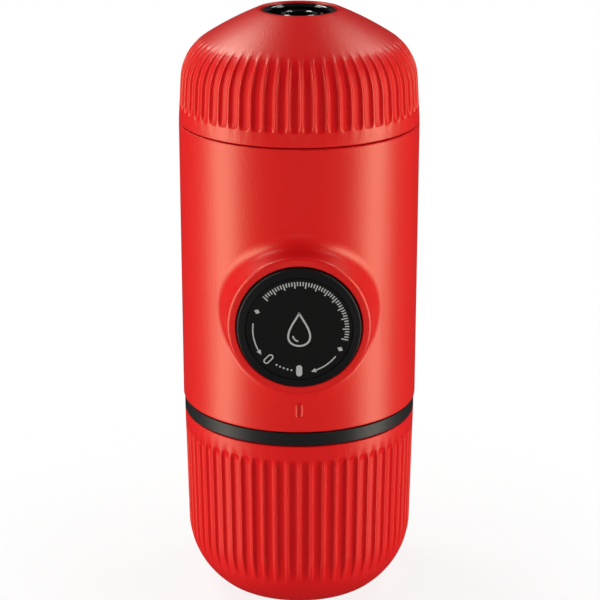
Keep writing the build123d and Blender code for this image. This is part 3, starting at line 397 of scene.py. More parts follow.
def smooth_piece(name: str, mesh: Mesh, crease_deg: float) -> Piece:
    """Make a smooth piece of a closed mesh.

    Args:
        name: name of the piece.
        mesh: its mesh.
        crease_deg: faces that meet at more than this angle keep a sharp edge.

    Returns:
        The finished piece, at the origin.
    """
    mesh.name = name
    turn_outwards(mesh)
    mesh.shade_smooth()
    mesh.set_sharp_from_angle(angle=math.radians(crease_deg))
    return in_scene(name, mesh)


def laid_along(start: Place, along: Place) -> Matrix:
    """Matrix that lays a shape, made up the Z axis from the origin, along a direction from a start."""
    turn = Vector((0.0, 0.0, 1.0)).rotation_difference(Vector(along))
    return Matrix.Translation(Vector(start)) @ turn.to_matrix().to_4x4()


def spread(start: float, end: float, steps: int) -> list[float]:
    """Evenly spaced values from start to end, both included."""
    return [start + (end - start) * index / steps for index in range(steps + 1)]


def polar(centre: Point, radius: float, angle: float) -> Point:
    """Point on a circle, at an angle from the first axis."""
    return centre[0] + radius * math.cos(angle), centre[1] + radius * math.sin(angle)


def arc(centre: Point, radius: float, first_deg: float, last_deg: float, steps: int) -> Outline:
    """Evenly spaced points on an arc."""
    return [polar(centre, radius, math.radians(a)) for a in spread(first_deg, last_deg, steps)]


class GeometryTree(TreeBuilder):
    """A Geometry Nodes tree with one named input for each value that it is given."""

    kinds: dict[type, str] = {
        bool: "NodeSocketBool",
        int: "NodeSocketInt",
        float: "NodeSocketFloat",
        bpy.types.Material: "NodeSocketMaterial",
    }

    def __init__(self, name: str, values: dict[str, object]) -> None:
        """Start a tree.

        Args:
            name: the tree's name.
            values: value of each named input, with the piece's finish as Material.
        """
        super().__init__(bpy.data.node_groups.new(name, "GeometryNodeTree"))
        self.values = values
        face = self.tree.interface
        face.new_socket("Geometry", in_out="INPUT", socket_type="NodeSocketGeometry")
        for label, value in values.items():
            face.new_socket(label, in_out="INPUT", socket_type=self.kinds[type(value)])
        face.new_socket("Geometry", in_out="OUTPUT", socket_type="NodeSocketGeometry")
        self.source = self.add("NodeGroupInput")
        self.result = self.add("NodeGroupOutput")

    def given(self, label: str) -> Socket:
        """The named input's socket."""
        return self.source.outputs[label]

    def stored(self, name: str, data_type: str = "FLOAT") -> Socket:
        """Named attribute of the geometry."""
        return self.out("GeometryNodeInputNamedAttribute", {"Name": name}, data_type=data_type)

    def finish(self, geometry: Socket) -> Socket:
        """End the tree: real geometry, with the piece's material.

        Args:
            geometry: what the tree has made.

        Returns:
            The finished geometry, on which a second material may still be set.
        """
        real = self.out("GeometryNodeRealizeInstances", {"Geometry": geometry})
        return self.painted({"Geometry": real, "Material": self.given("Material")})

    def painted(self, inputs: dict[str, Socket]) -> Socket:
        """Set a material and lead the result to the tree's end.

        Args:
            inputs: the geometry, its material and, if not all of it, the chosen faces.

        Returns:
            The geometry with its material.
        """
        made = self.out("GeometryNodeSetMaterial", inputs)
        self.fill(self.result, {"Geometry": made})
        return made

    def run(self, name: str, start: Mesh, crease_deg: float) -> Piece:
        """Run the tree on a mesh and keep the result as a plain mesh.

        Args:
            name: name of the finished piece.
            start: mesh that the tree reads.
            crease_deg: angle above which an edge stays sharp.

        Returns:
            The finished piece.
        """
        carrier = in_scene(f"{name}.carrier", start)
        modifier = carrier.modifiers.new("nodes", "NODES")
        modifier.node_group = self.tree
        for item in self.tree.interface.items_tree:
            if item.in_out == "INPUT" and item.name in self.values:
                modifier[item.identifier] = self.values[item.name]
        graph = bpy.context.evaluated_depsgraph_get()
        mesh = bpy.data.meshes.new_from_object(carrier.evaluated_get(graph))
        bpy.data.objects.remove(carrier)
        return smooth_piece(name, mesh, crease_deg)


# ---------------------------------------------------------------- fluted shells


class Facing(Enum):
    """Which way an arc's surface faces, as the sign of its normal."""

    OUTWARDS = 1
    INWARDS = -1


class WideEnd(Enum):
    """Which end of a drafted wall is the wide one, as the sign of the heights from it."""

    BELOW = 1
    ABOVE = -1


@dataclass(frozen=True)
class SectionPoint:
    """A point of a turned section, with its normal and the flute cutter's place."""

    radius: float
    height: float
    normal_r: float
    normal_z: float
    lift: float = CUTTER_AWAY
    past: float = 0.0


def turned_arc(
    centre: Point, radius: float, first: float, last: float, steps: int, facing: Facing = Facing.OUTWARDS
) -> list[SectionPoint]:
    """Points on a section's arc.

    Args:
        centre: radius and height of the arc's centre.
        radius: the arc's radius.
        first: angle of the first point from the outward horizontal, upwards positive.
        last: angle of the last point.
        steps: number of steps between them.
        facing: which way the surface faces.

    Returns:
        The section points, both ends included.
    """
    points = []
    for a in spread(first, last, steps):
        normal = (facing.value * math.cos(a), facing.value * math.sin(a))
        points.append(SectionPoint(*polar(centre, radius, a), *normal))
    return points


@dataclass(frozen=True)
class FluteRule:
    """Flutes: how many, their cutter's radius, depth, half width, run-out and soft ridges.

    A squareness of 2 makes their floor round, and more makes it flatter with steeper sides.
    Gather, from 0 to 1, draws the columns of faces towards the ridges.
    """

    count: int = 60
    radius: float = 1.3 * MM
    depth: float = 0.76 * MM
    half_width: float = 1.40 * MM
    squareness: float = 5.0
    runout: float = 2.7 * MM
    softness: float = 0.10 * MM
    gather: float = 0.72

    @property
    def exit_radius(self) -> float:
        """Radius of the arc on which the cutter's axis leaves the wall."""
        return (self.runout**2 + self.depth**2) / (2 * self.depth) - self.radius


@dataclass
class FlutedShell:
    """A red wall, drafted from its wide end to an arc, with flutes along both.

    The flutes fade out on the arc at the fade angle, and run out of the wall at the flute end.
    """

    wide_radius: float
    wide_height: float
    wide_end: WideEnd
    draft: float
    arc_radius: float
    arc_height: float
    wall: float
    flute_end: float
    flute_fade: float
    finish: Finish
    rule: FluteRule = FluteRule()
    phase: float = 0.0
    columns_per_flute: int = 16
    crease_deg: float = 70.0
    matte_above: float = 0.20
    doubles: float = 0.001 * MM

    @property
    def side(self) -> int:
        """Sign of the heights from the wide end."""
        return self.wide_end.value

    def wall_radius(self, height: float) -> float:
        """Outer radius of the drafted wall at one height."""
        return self.wide_radius - self.side * (height - self.wide_height) * math.tan(self.draft)

    def arc_centre(self) -> Point:
        """Centre of the arc, which the wall touches."""
        touch = self.arc_height + self.side * self.arc_radius * math.sin(self.draft)
        return self.wall_radius(touch) - self.arc_radius * math.cos(self.draft), self.arc_height

    def fluted_wall(self, heights: list[float]) -> list[SectionPoint]:
        """Points on the wall, where the cutter runs out near the flutes' end.

        Args:
            heights: height of each point.

        Returns:
            One section point for each height.
        """
        normal = (math.cos(self.draft), self.side * math.sin(self.draft))
        points = []
        for height in heights:
            past = max(0.0, self.side * (self.flute_end - height) + self.rule.runout)
            lift = self.rule.radius - self.rule.depth
            points.append(SectionPoint(self.wall_radius(height), height, *normal, lift, past))
        return points

    def fluted_arc(self, first: float, last: float, steps: int) -> list[SectionPoint]:
        """Points on the arc, from which the cutter's path moves away.

        Args:
            first: angle of the first point from the outward horizontal, upwards positive.
            last: angle of the last point.
            steps: number of steps between them.

        Returns:
            The section points, both ends included.
        """
        rule, flat = self.rule, math.cos(self.draft)
        shift = rule.depth / (flat - math.cos(self.flute_fade))
        lifts = [rule.radius - rule.depth + shift * (flat - math.cos(a)) for a in spread(first, last, steps)]
        points = turned_arc(self.arc_centre(), self.arc_radius, first, last, steps)
        return [replace(point, lift=lift) for point, lift in zip(points, lifts)]

    @staticmethod
    def section_mesh(name: str, points: list[SectionPoint]) -> Mesh:
        """Store a section as a mesh with its attributes.

        Args:
            name: the mesh's name.
            points: the section from first to last point.

        Returns:
            The mesh that the tree reads.
        """
        mesh = bpy.data.meshes.new(name)
        links = [(index, index + 1) for index in range(len(points) - 1)]
        mesh.from_pydata([(p.radius, 0.0, p.height) for p in points], links, [])
        outward = mesh.attributes.new("outward", "FLOAT_VECTOR", "POINT")
        outward.data.foreach_set("vector", [v for p in points for v in (p.normal_r, 0.0, p.normal_z)])
        for label in ("lift", "past"):
            stored = mesh.attributes.new(label, "FLOAT", "POINT")
            stored.data.foreach_set("value", [getattr(p, label) for p in points])
        return mesh

    def turned(self, name: str, points: list[SectionPoint]) -> Piece:
        """Turn a section into the finished shell.

        Args:
            name: name of the piece.
            points: its section.

        Returns:
            The finished piece.
        """
        rule = self.rule
        values = {
            "Flutes": rule.count,
            "Columns per flute": self.columns_per_flute,
            "Flute radius": rule.radius,
            "Flute depth": rule.depth,
            "Half width": rule.half_width,
            "Squareness": rule.squareness,
            "Exit radius": rule.exit_radius,
            "Ridge softness": rule.softness,
            "Gather": rule.gather,
            "Phase": self.phase,
            "Doubles": self.doubles,
            "Matte above": self.matte_above,
            "Flute material": RED_FLUTE.material(),
            "Material": self.finish.material(),
        }
        g = GeometryTree("fluted_shell", values)
        self.cut_flutes(g)
        return g.run(name, self.section_mesh(f"{name}.section", points), self.crease_deg)

    @classmethod
    def cut_flutes(cls, g: GeometryTree) -> None:
        """Build the tree that turns a section and cuts the flutes.

        Args:
            g: the tree with its named inputs.
        """
        section, flutes = g.given("Geometry"), g.given("Flutes")
        rows = g.add("GeometryNodeAttributeDomainSize", {0: section}, component="MESH").outputs["Point Count"]
        columns = g.math("ADD", g.math("MULTIPLY", flutes, g.given("Columns per flute")), 1.0)
        sides = {"Size X": 1.0, "Size Y": 1.0, "Vertices X": columns, "Vertices Y": rows}
        here = g.out("GeometryNodeInputPosition")
        places = g.add("ShaderNodeSeparateXYZ", {0: here}).outputs[:2]
        round_share, up_share = (g.math("ADD", place, UNIT_GRID_MIDDLE) for place in places)
        even = g.math("MULTIPLY", round_share, flutes)
        wave = g.math("SINE", g.math("MULTIPLY", even, FULL_TURN))
        gather = g.math("DIVIDE", g.given("Gather"), FULL_TURN)
        flute = g.math("SUBTRACT", even, g.math("MULTIPLY", wave, gather))
        pitch = g.math("DIVIDE", FULL_TURN, flutes)
        row = g.math("ROUND", g.math("MULTIPLY", up_share, g.math("SUBTRACT", rows, 1.0)))

        def sampled(value: Socket, data_type: str = "FLOAT") -> Socket:
            """A value of the section at this row."""
            inputs = {"Geometry": section, "Value": value, "Index": row}
            return g.out("GeometryNodeSampleIndex", inputs, data_type=data_type, domain="POINT")

        point = sampled(here, "FLOAT_VECTOR")
        radius = g.out("ShaderNodeSeparateXYZ", {0: point})
        across = g.math("MULTIPLY", g.math("SUBTRACT", g.math("FRACT", flute), 0.5), pitch)
        sideways = g.math("ABSOLUTE", g.math("MULTIPLY", across, radius))
        soft = cls.bite(g, sideways, sampled(g.stored("lift")), sampled(g.stored("past")))
        outward = sampled(g.stored("outward", "FLOAT_VECTOR"), "FLOAT_VECTOR")
        drop = {0: outward, "Scale": g.math("MULTIPLY", soft, -1.0)}
        inwards = g.out("ShaderNodeVectorMath", drop, operation="SCALE")
        cut = g.out("ShaderNodeVectorMath", {0: point, 1: inwards}, operation="ADD")
        angle = g.math("ADD", g.math("MULTIPLY", flute, pitch), g.given("Phase"))
        spun = g.out("ShaderNodeVectorRotate", {"Vector": cut, "Angle": angle}, rotation_type="Z_AXIS")
        depth = g.math("DIVIDE", soft, g.given("Flute depth"))
        grid = {"Geometry": g.out("GeometryNodeMeshGrid", sides), "Name": "depth", "Value": depth}
        measured = g.out("GeometryNodeStoreNamedAttribute", grid, data_type="FLOAT", domain="POINT")
        moved = g.out("GeometryNodeSetPosition", {"Geometry": measured, "Position": spun})
        joined = g.out("GeometryNodeMergeByDistance", {"Geometry": moved, "Distance": g.given("Doubles")})
        deep = g.math("GREATER_THAN", g.stored("depth"), g.given("Matte above"))
        g.painted({"Geometry": g.finish(joined), "Selection": deep, "Material": g.given("Flute material")})

    @staticmethod
    def bite(g: GeometryTree, sideways: Socket, lift: Socket, past: Socket) -> Socket:
        """How deep the cutter goes at one place.

        Args:
            g: the tree.
            sideways: distance from the flute's middle line.
            lift: height of the cutter's axis over the wall.
            past: distance past the place where the cutter starts to leave the wall.

        Returns:
            The depth, with a soft edge at the ridge.
        """
        off_centre = g.math("DIVIDE", sideways, g.given("Half width"))
        rise = g.math("MULTIPLY", g.given("Flute depth"), g.math("POWER", off_centre, g.given("Squareness")))
        cutter = g.math("MAXIMUM", g.math("SUBTRACT", g.given("Flute radius"), rise), 0.0)
        swing = g.math("ADD", g.given("Exit radius"), cutter)
        drop = g.math("SUBTRACT", g.math("MULTIPLY", swing, swing), g.math("MULTIPLY", past, past))
        reach = g.math("SUBTRACT", g.math("SQRT", g.math("MAXIMUM", drop, 0.0)), g.given("Exit radius"))
        return g.math("SMOOTH_MAX", g.math("SUBTRACT", reach, lift), 0.0, g.given("Ridge softness"))


@dataclass
class CupJacket(FlutedShell):
    """The fluted red cup, with its flutes along the wall and the large corner below."""

    wide_radius: float = 30.7 * MM
    wide_height: float = 49.0 * MM
    wide_end: WideEnd = WideEnd.ABOVE
    draft: float = math.radians(1.1)
    arc_radius: float = 21.4 * MM
    arc_height: float = 17.7 * MM
    wall: float = 1.8 * MM
    flute_end: float = 45.2 * MM
    flute_fade: float = math.radians(25.0)
    finish: Finish = RED_CUP
    toe_radius: float = 6.1 * MM
    rim_round: float = 0.3 * MM
    foot_radius: float = 12.6 * MM
    recess_radius: float = 12.222 * MM
    recess_depth: float = 0.35 * MM

    def section(self) -> list[SectionPoint]:
        """Outer base, toe, corner and wall, over the rim, and back inside to the axis.

        Returns:
            The section's points, from axis to axis.
        """
        corner = self.arc_centre()
        gap, drop = self.arc_radius - self.toe_radius, self.arc_height - self.toe_radius
        toe = (corner[0] + math.sqrt(gap**2 - drop**2), self.toe_radius)
        joint = math.asin(drop / gap)
        points = [SectionPoint(r, self.recess_depth, 0.0, -1.0) for r in (0.0, self.recess_radius)]
        points += [SectionPoint(r, 0.0, 0.0, -1.0) for r in spread(self.foot_radius, toe[0], steps=2)]
        points += turned_arc(toe, self.toe_radius, -math.pi / 2, -joint, steps=8)[1:]
        points += self.fluted_arc(-joint, -self.draft, steps=32)[1:]
        top, tail = self.wide_height - self.rim_round, self.flute_end - self.rule.runout
        points += self.fluted_wall(spread(points[-1].height, tail, steps=6)[1:])
        points += self.fluted_wall([*spread(tail, self.flute_end, steps=14)[1:], top])
        rounded = (self.wall_radius(top) - self.rim_round, top)
        points += turned_arc(rounded, self.rim_round, 0.0, math.pi / 2, steps=4)[1:]
        inner_rim = self.wall_radius(self.wide_height) - self.wall
        points.append(SectionPoint(inner_rim, self.wide_height, -1.0, 0.0))
        inner_corner, inner_toe = self.arc_radius - self.wall, self.toe_radius - self.wall
        points += turned_arc(corner, inner_corner, -self.draft, -joint, steps=10, facing=Facing.INWARDS)
        points += turned_arc(toe, inner_toe, -joint, -math.pi / 2, steps=6, facing=Facing.INWARDS)[1:]
        points += [SectionPoint(r, self.wall, 0.0, 1.0) for r in spread(toe[0], 0.0, steps=3)[1:]]
        return points

    def build(self) -> list[Piece]:
        """Make the cup's jacket and let it stand for its frame node.

        Returns:
            The finished pieces.
        """
        piece = self.turned("cup_jacket", self.section())
        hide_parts("cup_shell")
        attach(piece, "cup")
        return [piece]


@dataclass
class DomeJacket(FlutedShell):
    """The fluted red dome, with its flutes along the wall and the shoulder, and its rounded opening."""

    wide_radius: float = 31.0 * MM
    wide_height: float = 127.9 * MM
    wide_end: WideEnd = WideEnd.BELOW
    draft: float = math.radians(3.3)
    arc_radius: float = 13.0 * MM
    arc_height: float = 138.2 * MM
    wall: float = 2.2 * MM
    flute_end: float = 131.3 * MM
    flute_fade: float = math.radians(58.0)
    finish: Finish = RED_SHELL
    phase: float = math.radians(1.0)
    top: float = 156.4 * MM
    crown_radius: float = 90.0 * MM
    rim_radius: float = 10.8 * MM
    opening_radius: float = 9.8 * MM
    lip_round: float = 0.45 * MM
    lip_edge: float = 0.3 * MM
    foot_round: float = 0.3 * MM

    def crown_centre(self) -> Point:
        """Centre of the shallow crown arc, which touches the shoulder arc and ends at the rim.

        Returns:
            Its radius and height.
        """
        shoulder = self.arc_centre()
        across, up = self.rim_radius - shoulder[0], self.top - shoulder[1]
        reach = math.hypot(across, up)
        inner = self.crown_radius - self.arc_radius
        along = (inner**2 - self.crown_radius**2 + reach**2) / (2 * reach)
        aside = math.sqrt(inner**2 - along**2)
        return (
            shoulder[0] + (along * across - aside * up) / reach,
            shoulder[1] + (along * up + aside * across) / reach,
        )

    def section(self) -> list[SectionPoint]:
        """Outer wall, shoulder, crown and lip, then back down inside to the foot.

        Returns:
            The closed section's points, the first one repeated at the end.
        """
        centre, crown = self.arc_centre(), self.crown_centre()
        lean = math.atan2(centre[1] - crown[1], centre[0] - crown[0])
        foot = self.wide_height + self.foot_round
        rounded = (self.wall_radius(foot) - self.foot_round, foot)
        points = turned_arc(rounded, self.foot_round, -math.pi / 2, 0.0, steps=4)
        head = centre[1] + self.arc_radius * math.sin(self.draft)
        tail = self.flute_end + self.rule.runout
        points += self.fluted_wall(spread(self.flute_end, tail, steps=14) + spread(tail, head, steps=3)[1:])
        points += self.fluted_arc(self.draft, lean, steps=40)[1:]
        lip_height = self.top - self.lip_round
        lip_reach = self.crown_radius - self.lip_round
        lip_radius = crown[0] + math.sqrt(lip_reach**2 - (lip_height - crown[1]) ** 2)
        lip_lean = math.atan2(lip_height - crown[1], lip_radius - crown[0])
        points += turned_arc(crown, self.crown_radius, lean, lip_lean, steps=12)[1:]
        points += turned_arc((lip_radius, lip_height), self.lip_round, lip_lean, math.pi / 2, steps=3)[1:]
        inner_lip = (self.opening_radius + self.lip_edge, self.top - self.lip_edge)
        points += turned_arc(inner_lip, self.lip_edge, math.pi / 2, math.pi, steps=4)
        inner_crown = self.crown_radius - self.wall
        ceiling = crown[1] + math.sqrt(inner_crown**2 - (self.opening_radius - crown[0]) ** 2)
        opening_lean = math.atan2(ceiling - crown[1], self.opening_radius - crown[0])
        points.append(SectionPoint(self.opening_radius, ceiling, -1.0, 0.0))
        points += turned_arc(crown, inner_crown, opening_lean, lean, steps=4, facing=Facing.INWARDS)[1:]
        inner_shoulder = self.arc_radius - self.wall
        points += turned_arc(centre, inner_shoulder, lean, self.draft, steps=10, facing=Facing.INWARDS)[1:]
        inner_foot = self.wall_radius(self.wide_height) - self.wall / math.cos(self.draft)
        inward = (-math.cos(self.draft), -math.sin(self.draft))
        points.append(SectionPoint(inner_foot, self.wide_height, *inward))
        return [*points, points[0]]

    def build(self) -> list[Piece]:
        """Make the dome's jacket and let it stand for its frame node.

        Returns:
            The finished pieces.
        """
        piece = self.turned("dome_jacket", self.section())
        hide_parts("outlet_head_shell")
        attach(piece, "outlet_head")
        return [piece]


# ---------------------------------------------------------------- coils: spring and threads


@dataclass
class Coil:
    """A wire or thread bead wound up the Z axis, with closed ends."""

    name: str
    finish: Finish
    turns: float
    height: float
    radius: float
    wire_radius: float
    steps_per_turn: int = 48
    wire_sides: int = 10
    crease_deg: float = 60.0

    def tree(self) -> GeometryTree:
        """Build the tree that winds the wire.

        Returns:
            The tree, which needs no mesh to start from.
        """
        values = {
            "Turns": self.turns,
            "Height": self.height,
            "Coil radius": self.radius,
            "Wire radius": self.wire_radius,
            "Steps per turn": self.steps_per_turn,
            "Wire sides": self.wire_sides,
            "Material": self.finish.material(),
        }
        g = GeometryTree("wound_wire", values)
        spiral = {
            "Resolution": g.given("Steps per turn"),
            "Rotations": g.given("Turns"),
            "Start Radius": g.given("Coil radius"),
            "End Radius": g.given("Coil radius"),
            "Height": g.given("Height"),
        }
        line = g.out("GeometryNodeCurveSpiral", spiral)
        circle = {"Resolution": g.given("Wire sides"), "Radius": g.given("Wire radius")}
        section = g.out("GeometryNodeCurvePrimitiveCircle", circle)
        swept = {"Curve": line, "Profile Curve": section, "Fill Caps": True}
        g.finish(g.out("GeometryNodeCurveToMesh", swept))
        return g

    def wound(self, place: Matrix) -> Piece:
        """Wind the coil and put its place into its mesh.

        Args:
            place: turns and moves the coil to where it lies.

        Returns:
            The finished piece.
        """
        seed = bpy.data.meshes.new(f"{self.name}.seed")
        piece = self.tree().run(self.name, seed, self.crease_deg)
        piece.data.transform(place)
        return piece


@dataclass
class ReturnSpring:
    """Spring that pushes the pump knob out."""

    knob_height: float = KNOB_HEIGHT
    back: float = -17.7 * MM
    front: float = -35.2 * MM
    turns: float = 6.0
    radius: float = 12.0 * MM
    wire_radius: float = 0.6 * MM

    def build(self) -> list[Piece]:
        """Wind the spring between the pump housing and the knob.

        Returns:
            The finished pieces.
        """
        seat = (0.0, self.back, self.knob_height)
        sizes = {"height": self.back - self.front, "radius": self.radius, "wire_radius": self.wire_radius}
        coil = Coil("return_spring_coil", STEEL, turns=self.turns, **sizes)
        piece = coil.wound(laid_along(seat, OUT_OF_THE_KNOB))
        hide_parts("return_spring")
        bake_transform(piece)
        return [piece]


@dataclass(frozen=True)
class ScrewThread:
    """One run of a rounded screw thread, outside or inside a round wall."""

    name: str
    body: str
    finish: Finish
    wall_radius: float
    bottom: float
    turns: float
    outside: bool = True
    pitch: float = 2.6 * MM
    bead_radius: float = 0.55 * MM
    proud: float = 0.22 * MM
    steps_per_turn: int = 72
    bead_sides: int = 12

    def build(self) -> Piece:
        """Wind the thread on its wall.

        Returns:
            The finished piece.
        """
        sunk = self.bead_radius - self.proud
        radius = self.wall_radius - sunk if self.outside else self.wall_radius + sunk
        coil = Coil(
            self.name, self.finish, turns=self.turns, height=self.turns * self.pitch, radius=radius,
            wire_radius=self.bead_radius, steps_per_turn=self.steps_per_turn, wire_sides=self.bead_sides,
        )
        piece = coil.wound(Matrix.Translation((0.0, 0.0, self.bottom)))
        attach(piece, self.body)
        return piece


TANK_THREAD = ScrewThread(
    "tank_thread", "water_tank", COLLAR_BLACK, wall_radius=26.0 * MM, bottom=54.4 * MM, turns=1.7,
)
TANK_SOCKET_THREAD = ScrewThread(
    "tank_socket_thread", "main_body", INNER_BLACK, wall_radius=26.3 * MM, bottom=55.7 * MM, turns=1.6,
    outside=False,
)
BREW_HEAD_THREAD = ScrewThread(
    "brew_head_thread", "main_body", INNER_BLACK, wall_radius=26.4 * MM, bottom=129.2 * MM, turns=2.2,
)
PORTAFILTER_THREAD = ScrewThread(
    "portafilter_thread", "outlet_head", INNER_BLACK, wall_radius=26.7 * MM, bottom=130.5 * MM, turns=2.0,
    outside=False,
)


@dataclass
class Threads:
    """The threads that hold the tank and the outlet head, each male run between the female ones."""

    runs: tuple[ScrewThread, ...] = (TANK_THREAD, TANK_SOCKET_THREAD, BREW_HEAD_THREAD, PORTAFILTER_THREAD)

    def build(self) -> list[Piece]:
        """Wind all the runs."""
        return [run.build() for run in self.runs]


# ---------------------------------------------------------------- turned trims


@dataclass
class Lathe:
    """Turns a closed section round the Z axis, and puts the ring's place into its mesh."""

    finish: Finish
    place: Matrix
    steps: int
    crease_deg: float = 40.0

    def ring(self, name: str, section: Outline) -> Piece:
        """Turn one section.

        Args:
            name: name of the piece.
            section: radius and height of each corner, in order round the section.

        Returns:
            The finished piece.
        """
        count, steps = len(section), self.steps
        corners = [
            (radius * math.cos(turn), radius * math.sin(turn), height)
            for turn in spread(0.0, FULL_TURN, steps)[:-1]
            for radius, height in section
        ]
        faces = []
        for step in range(steps):
            for corner in range(count):
                here, onward = step * count, (step + 1) % steps * count
                after = (corner + 1) % count
                faces.append((here + corner, here + after, onward + after, onward + corner))
        mesh = bpy.data.meshes.new(name)
        mesh.from_pydata(corners, [], faces)
        mesh.transform(self.place)
        mesh.materials.append(self.finish.material())
        piece = smooth_piece(name, mesh, self.crease_deg)
        return piece


@dataclass
class BossRim:
    """Crowned rim that leads from the boss's crest into the knob's hole."""

    knob_height: float = KNOB_HEIGHT
    crest: float = -38.0 * MM
    inner_radius: float = 15.74 * MM
    outer_radius: float = 17.98 * MM
    rise: float = 0.52 * MM
    inner_round: float = 0.22 * MM
    outer_round: float = 1.15 * MM
    slope_deg: float = 17.0
    skirt: float = 1.9 * MM
    skirt_draft: float = 0.18 * MM
    skirt_edge: float = 0.8 * MM
    foot: float = 0.5 * MM
    steps: int = 256

    def section(self) -> Outline:
        """Section from the hole, over the crown and down the boss's flank.

        Returns:
            Radius and height of each corner.
        """
        inner = (self.inner_radius + self.inner_round, self.rise - self.inner_round)
        run = self.outer_radius - self.outer_round - inner[0]
        fall = inner[1] + self.inner_round - run * math.tan(math.radians(self.slope_deg)) - self.outer_round
        outer = (self.outer_radius - self.outer_round, fall)
        return [
            (self.inner_radius, -self.foot),
            *arc(inner, self.inner_round, 180.0, 90.0 - self.slope_deg, steps=6),
            *arc(outer, self.outer_round, 90.0 - self.slope_deg, 0.0, steps=12),
            (self.outer_radius - self.skirt_draft, -self.skirt),
            (self.outer_radius - self.skirt_edge, -self.skirt),
        ]

    def build(self) -> list[Piece]:
        """Turn the rim round the knob's axis.

        Returns:
            The finished pieces.
        """
        place = laid_along((0.0, self.crest, self.knob_height), OUT_OF_THE_KNOB)
        piece = Lathe(RED_SHELL, place, self.steps).ring("boss_rim", self.section())
        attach(piece, "main_body")
        return [piece]


@dataclass(frozen=True)
class Bead:
    """A polished bead: its name, the ring's radius, its own radius and how far it lies below the top."""

    name: str
    radius: float
    bead_radius: float
    drop: float


@dataclass
class NozzleTrim:
    """Polished beads of the outlet dish: its rim, its hub and the lip of the spout."""

    top: float = 156.0 * MM
    steps: int = 96
    sides: int = 24
    beads: tuple[Bead, ...] = (
        Bead("nozzle_rim_bead", radius=8.60 * MM, bead_radius=0.62 * MM, drop=0.62 * MM),
        Bead("nozzle_hub_bead", radius=4.10 * MM, bead_radius=0.45 * MM, drop=1.15 * MM),
        Bead("nozzle_spout_bead", radius=3.42 * MM, bead_radius=0.22 * MM, drop=1.00 * MM),
    )

    def build(self) -> list[Piece]:
        """Turn the beads round the outlet's axis.

        Returns:
            The finished pieces.
        """
        lathe = Lathe(NOZZLE_BLACK, Matrix.Identity(4), self.steps)
        pieces = []
        for bead in self.beads:
            section = arc((bead.radius, self.top - bead.drop), bead.bead_radius, 0.0, 360.0, self.sides)[:-1]
            piece = lathe.ring(bead.name, section)
            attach(piece, "outlet_head")
            pieces.append(piece)
        return pieces


# ---------------------------------------------------------------- print on the knob


@dataclass(frozen=True)
class Mark:
    """A small printed mark: its place on the face, its turn, and its width and length."""

    across: float
    up: float
    turn: float
    width: float
    length: float


@dataclass
class MarkField:
    """Many small bars or dots of ink, set by Geometry Nodes."""

    marks: list[Mark]
    round_marks: bool
    thickness: float
    dot_sides: int = 20
    crease_deg: float = 30.0

    def tree(self) -> GeometryTree:
        """Build the tree that puts a bar or a dot of ink on each point.

        Returns:
            The tree, ready to run on a mesh of points.
        """
        values = {
            "Round marks": self.round_marks,
            "Dot sides": self.dot_sides,
            "Ink thickness": self.thickness,
            "Material": PRINT_GREY.material(),
        }
        g = GeometryTree("printed_marks", values)
        bar = g.out("GeometryNodeMeshCube")
        unit_dot = {"Vertices": g.given("Dot sides"), "Radius": 0.5, "Depth": 1.0}
        dot = g.out("GeometryNodeMeshCylinder", unit_dot)
        shapes = {"Switch": g.given("Round marks"), "False": bar, "True": dot}
        width, length, turn = g.add("ShaderNodeSeparateXYZ", {0: g.stored("size", "FLOAT_VECTOR")}).outputs
        turned = g.out("FunctionNodeEulerToRotation", {0: g.out("ShaderNodeCombineXYZ", {"Z": turn})})
        scale = g.out("ShaderNodeCombineXYZ", {"X": width, "Y": length, "Z": g.given("Ink thickness")})
        placed = {
            "Points": g.given("Geometry"),
            "Instance": g.out("GeometryNodeSwitch", shapes, input_type="GEOMETRY"),
            "Rotation": turned,
            "Scale": scale,
        }
        g.finish(g.out("GeometryNodeInstanceOnPoints", placed))
        return g

    def printed(self, name: str, place: Matrix) -> Piece:
        """Set the marks and lay them on the face.

        Args:
            name: name of the piece.
            place: lays the plane on the face.

        Returns:
            The finished piece.
        """
        points = bpy.data.meshes.new(f"{name}.points")
        points.from_pydata([(mark.across, mark.up, 0.0) for mark in self.marks], [], [])
        size = points.attributes.new("size", "FLOAT_VECTOR", "POINT")
        sizes = [(mark.width, mark.length, mark.turn) for mark in self.marks]
        size.data.foreach_set("vector", [value for triple in sizes for value in triple])
        piece = self.tree().run(name, points, self.crease_deg)
        piece.data.transform(place)
        return piece


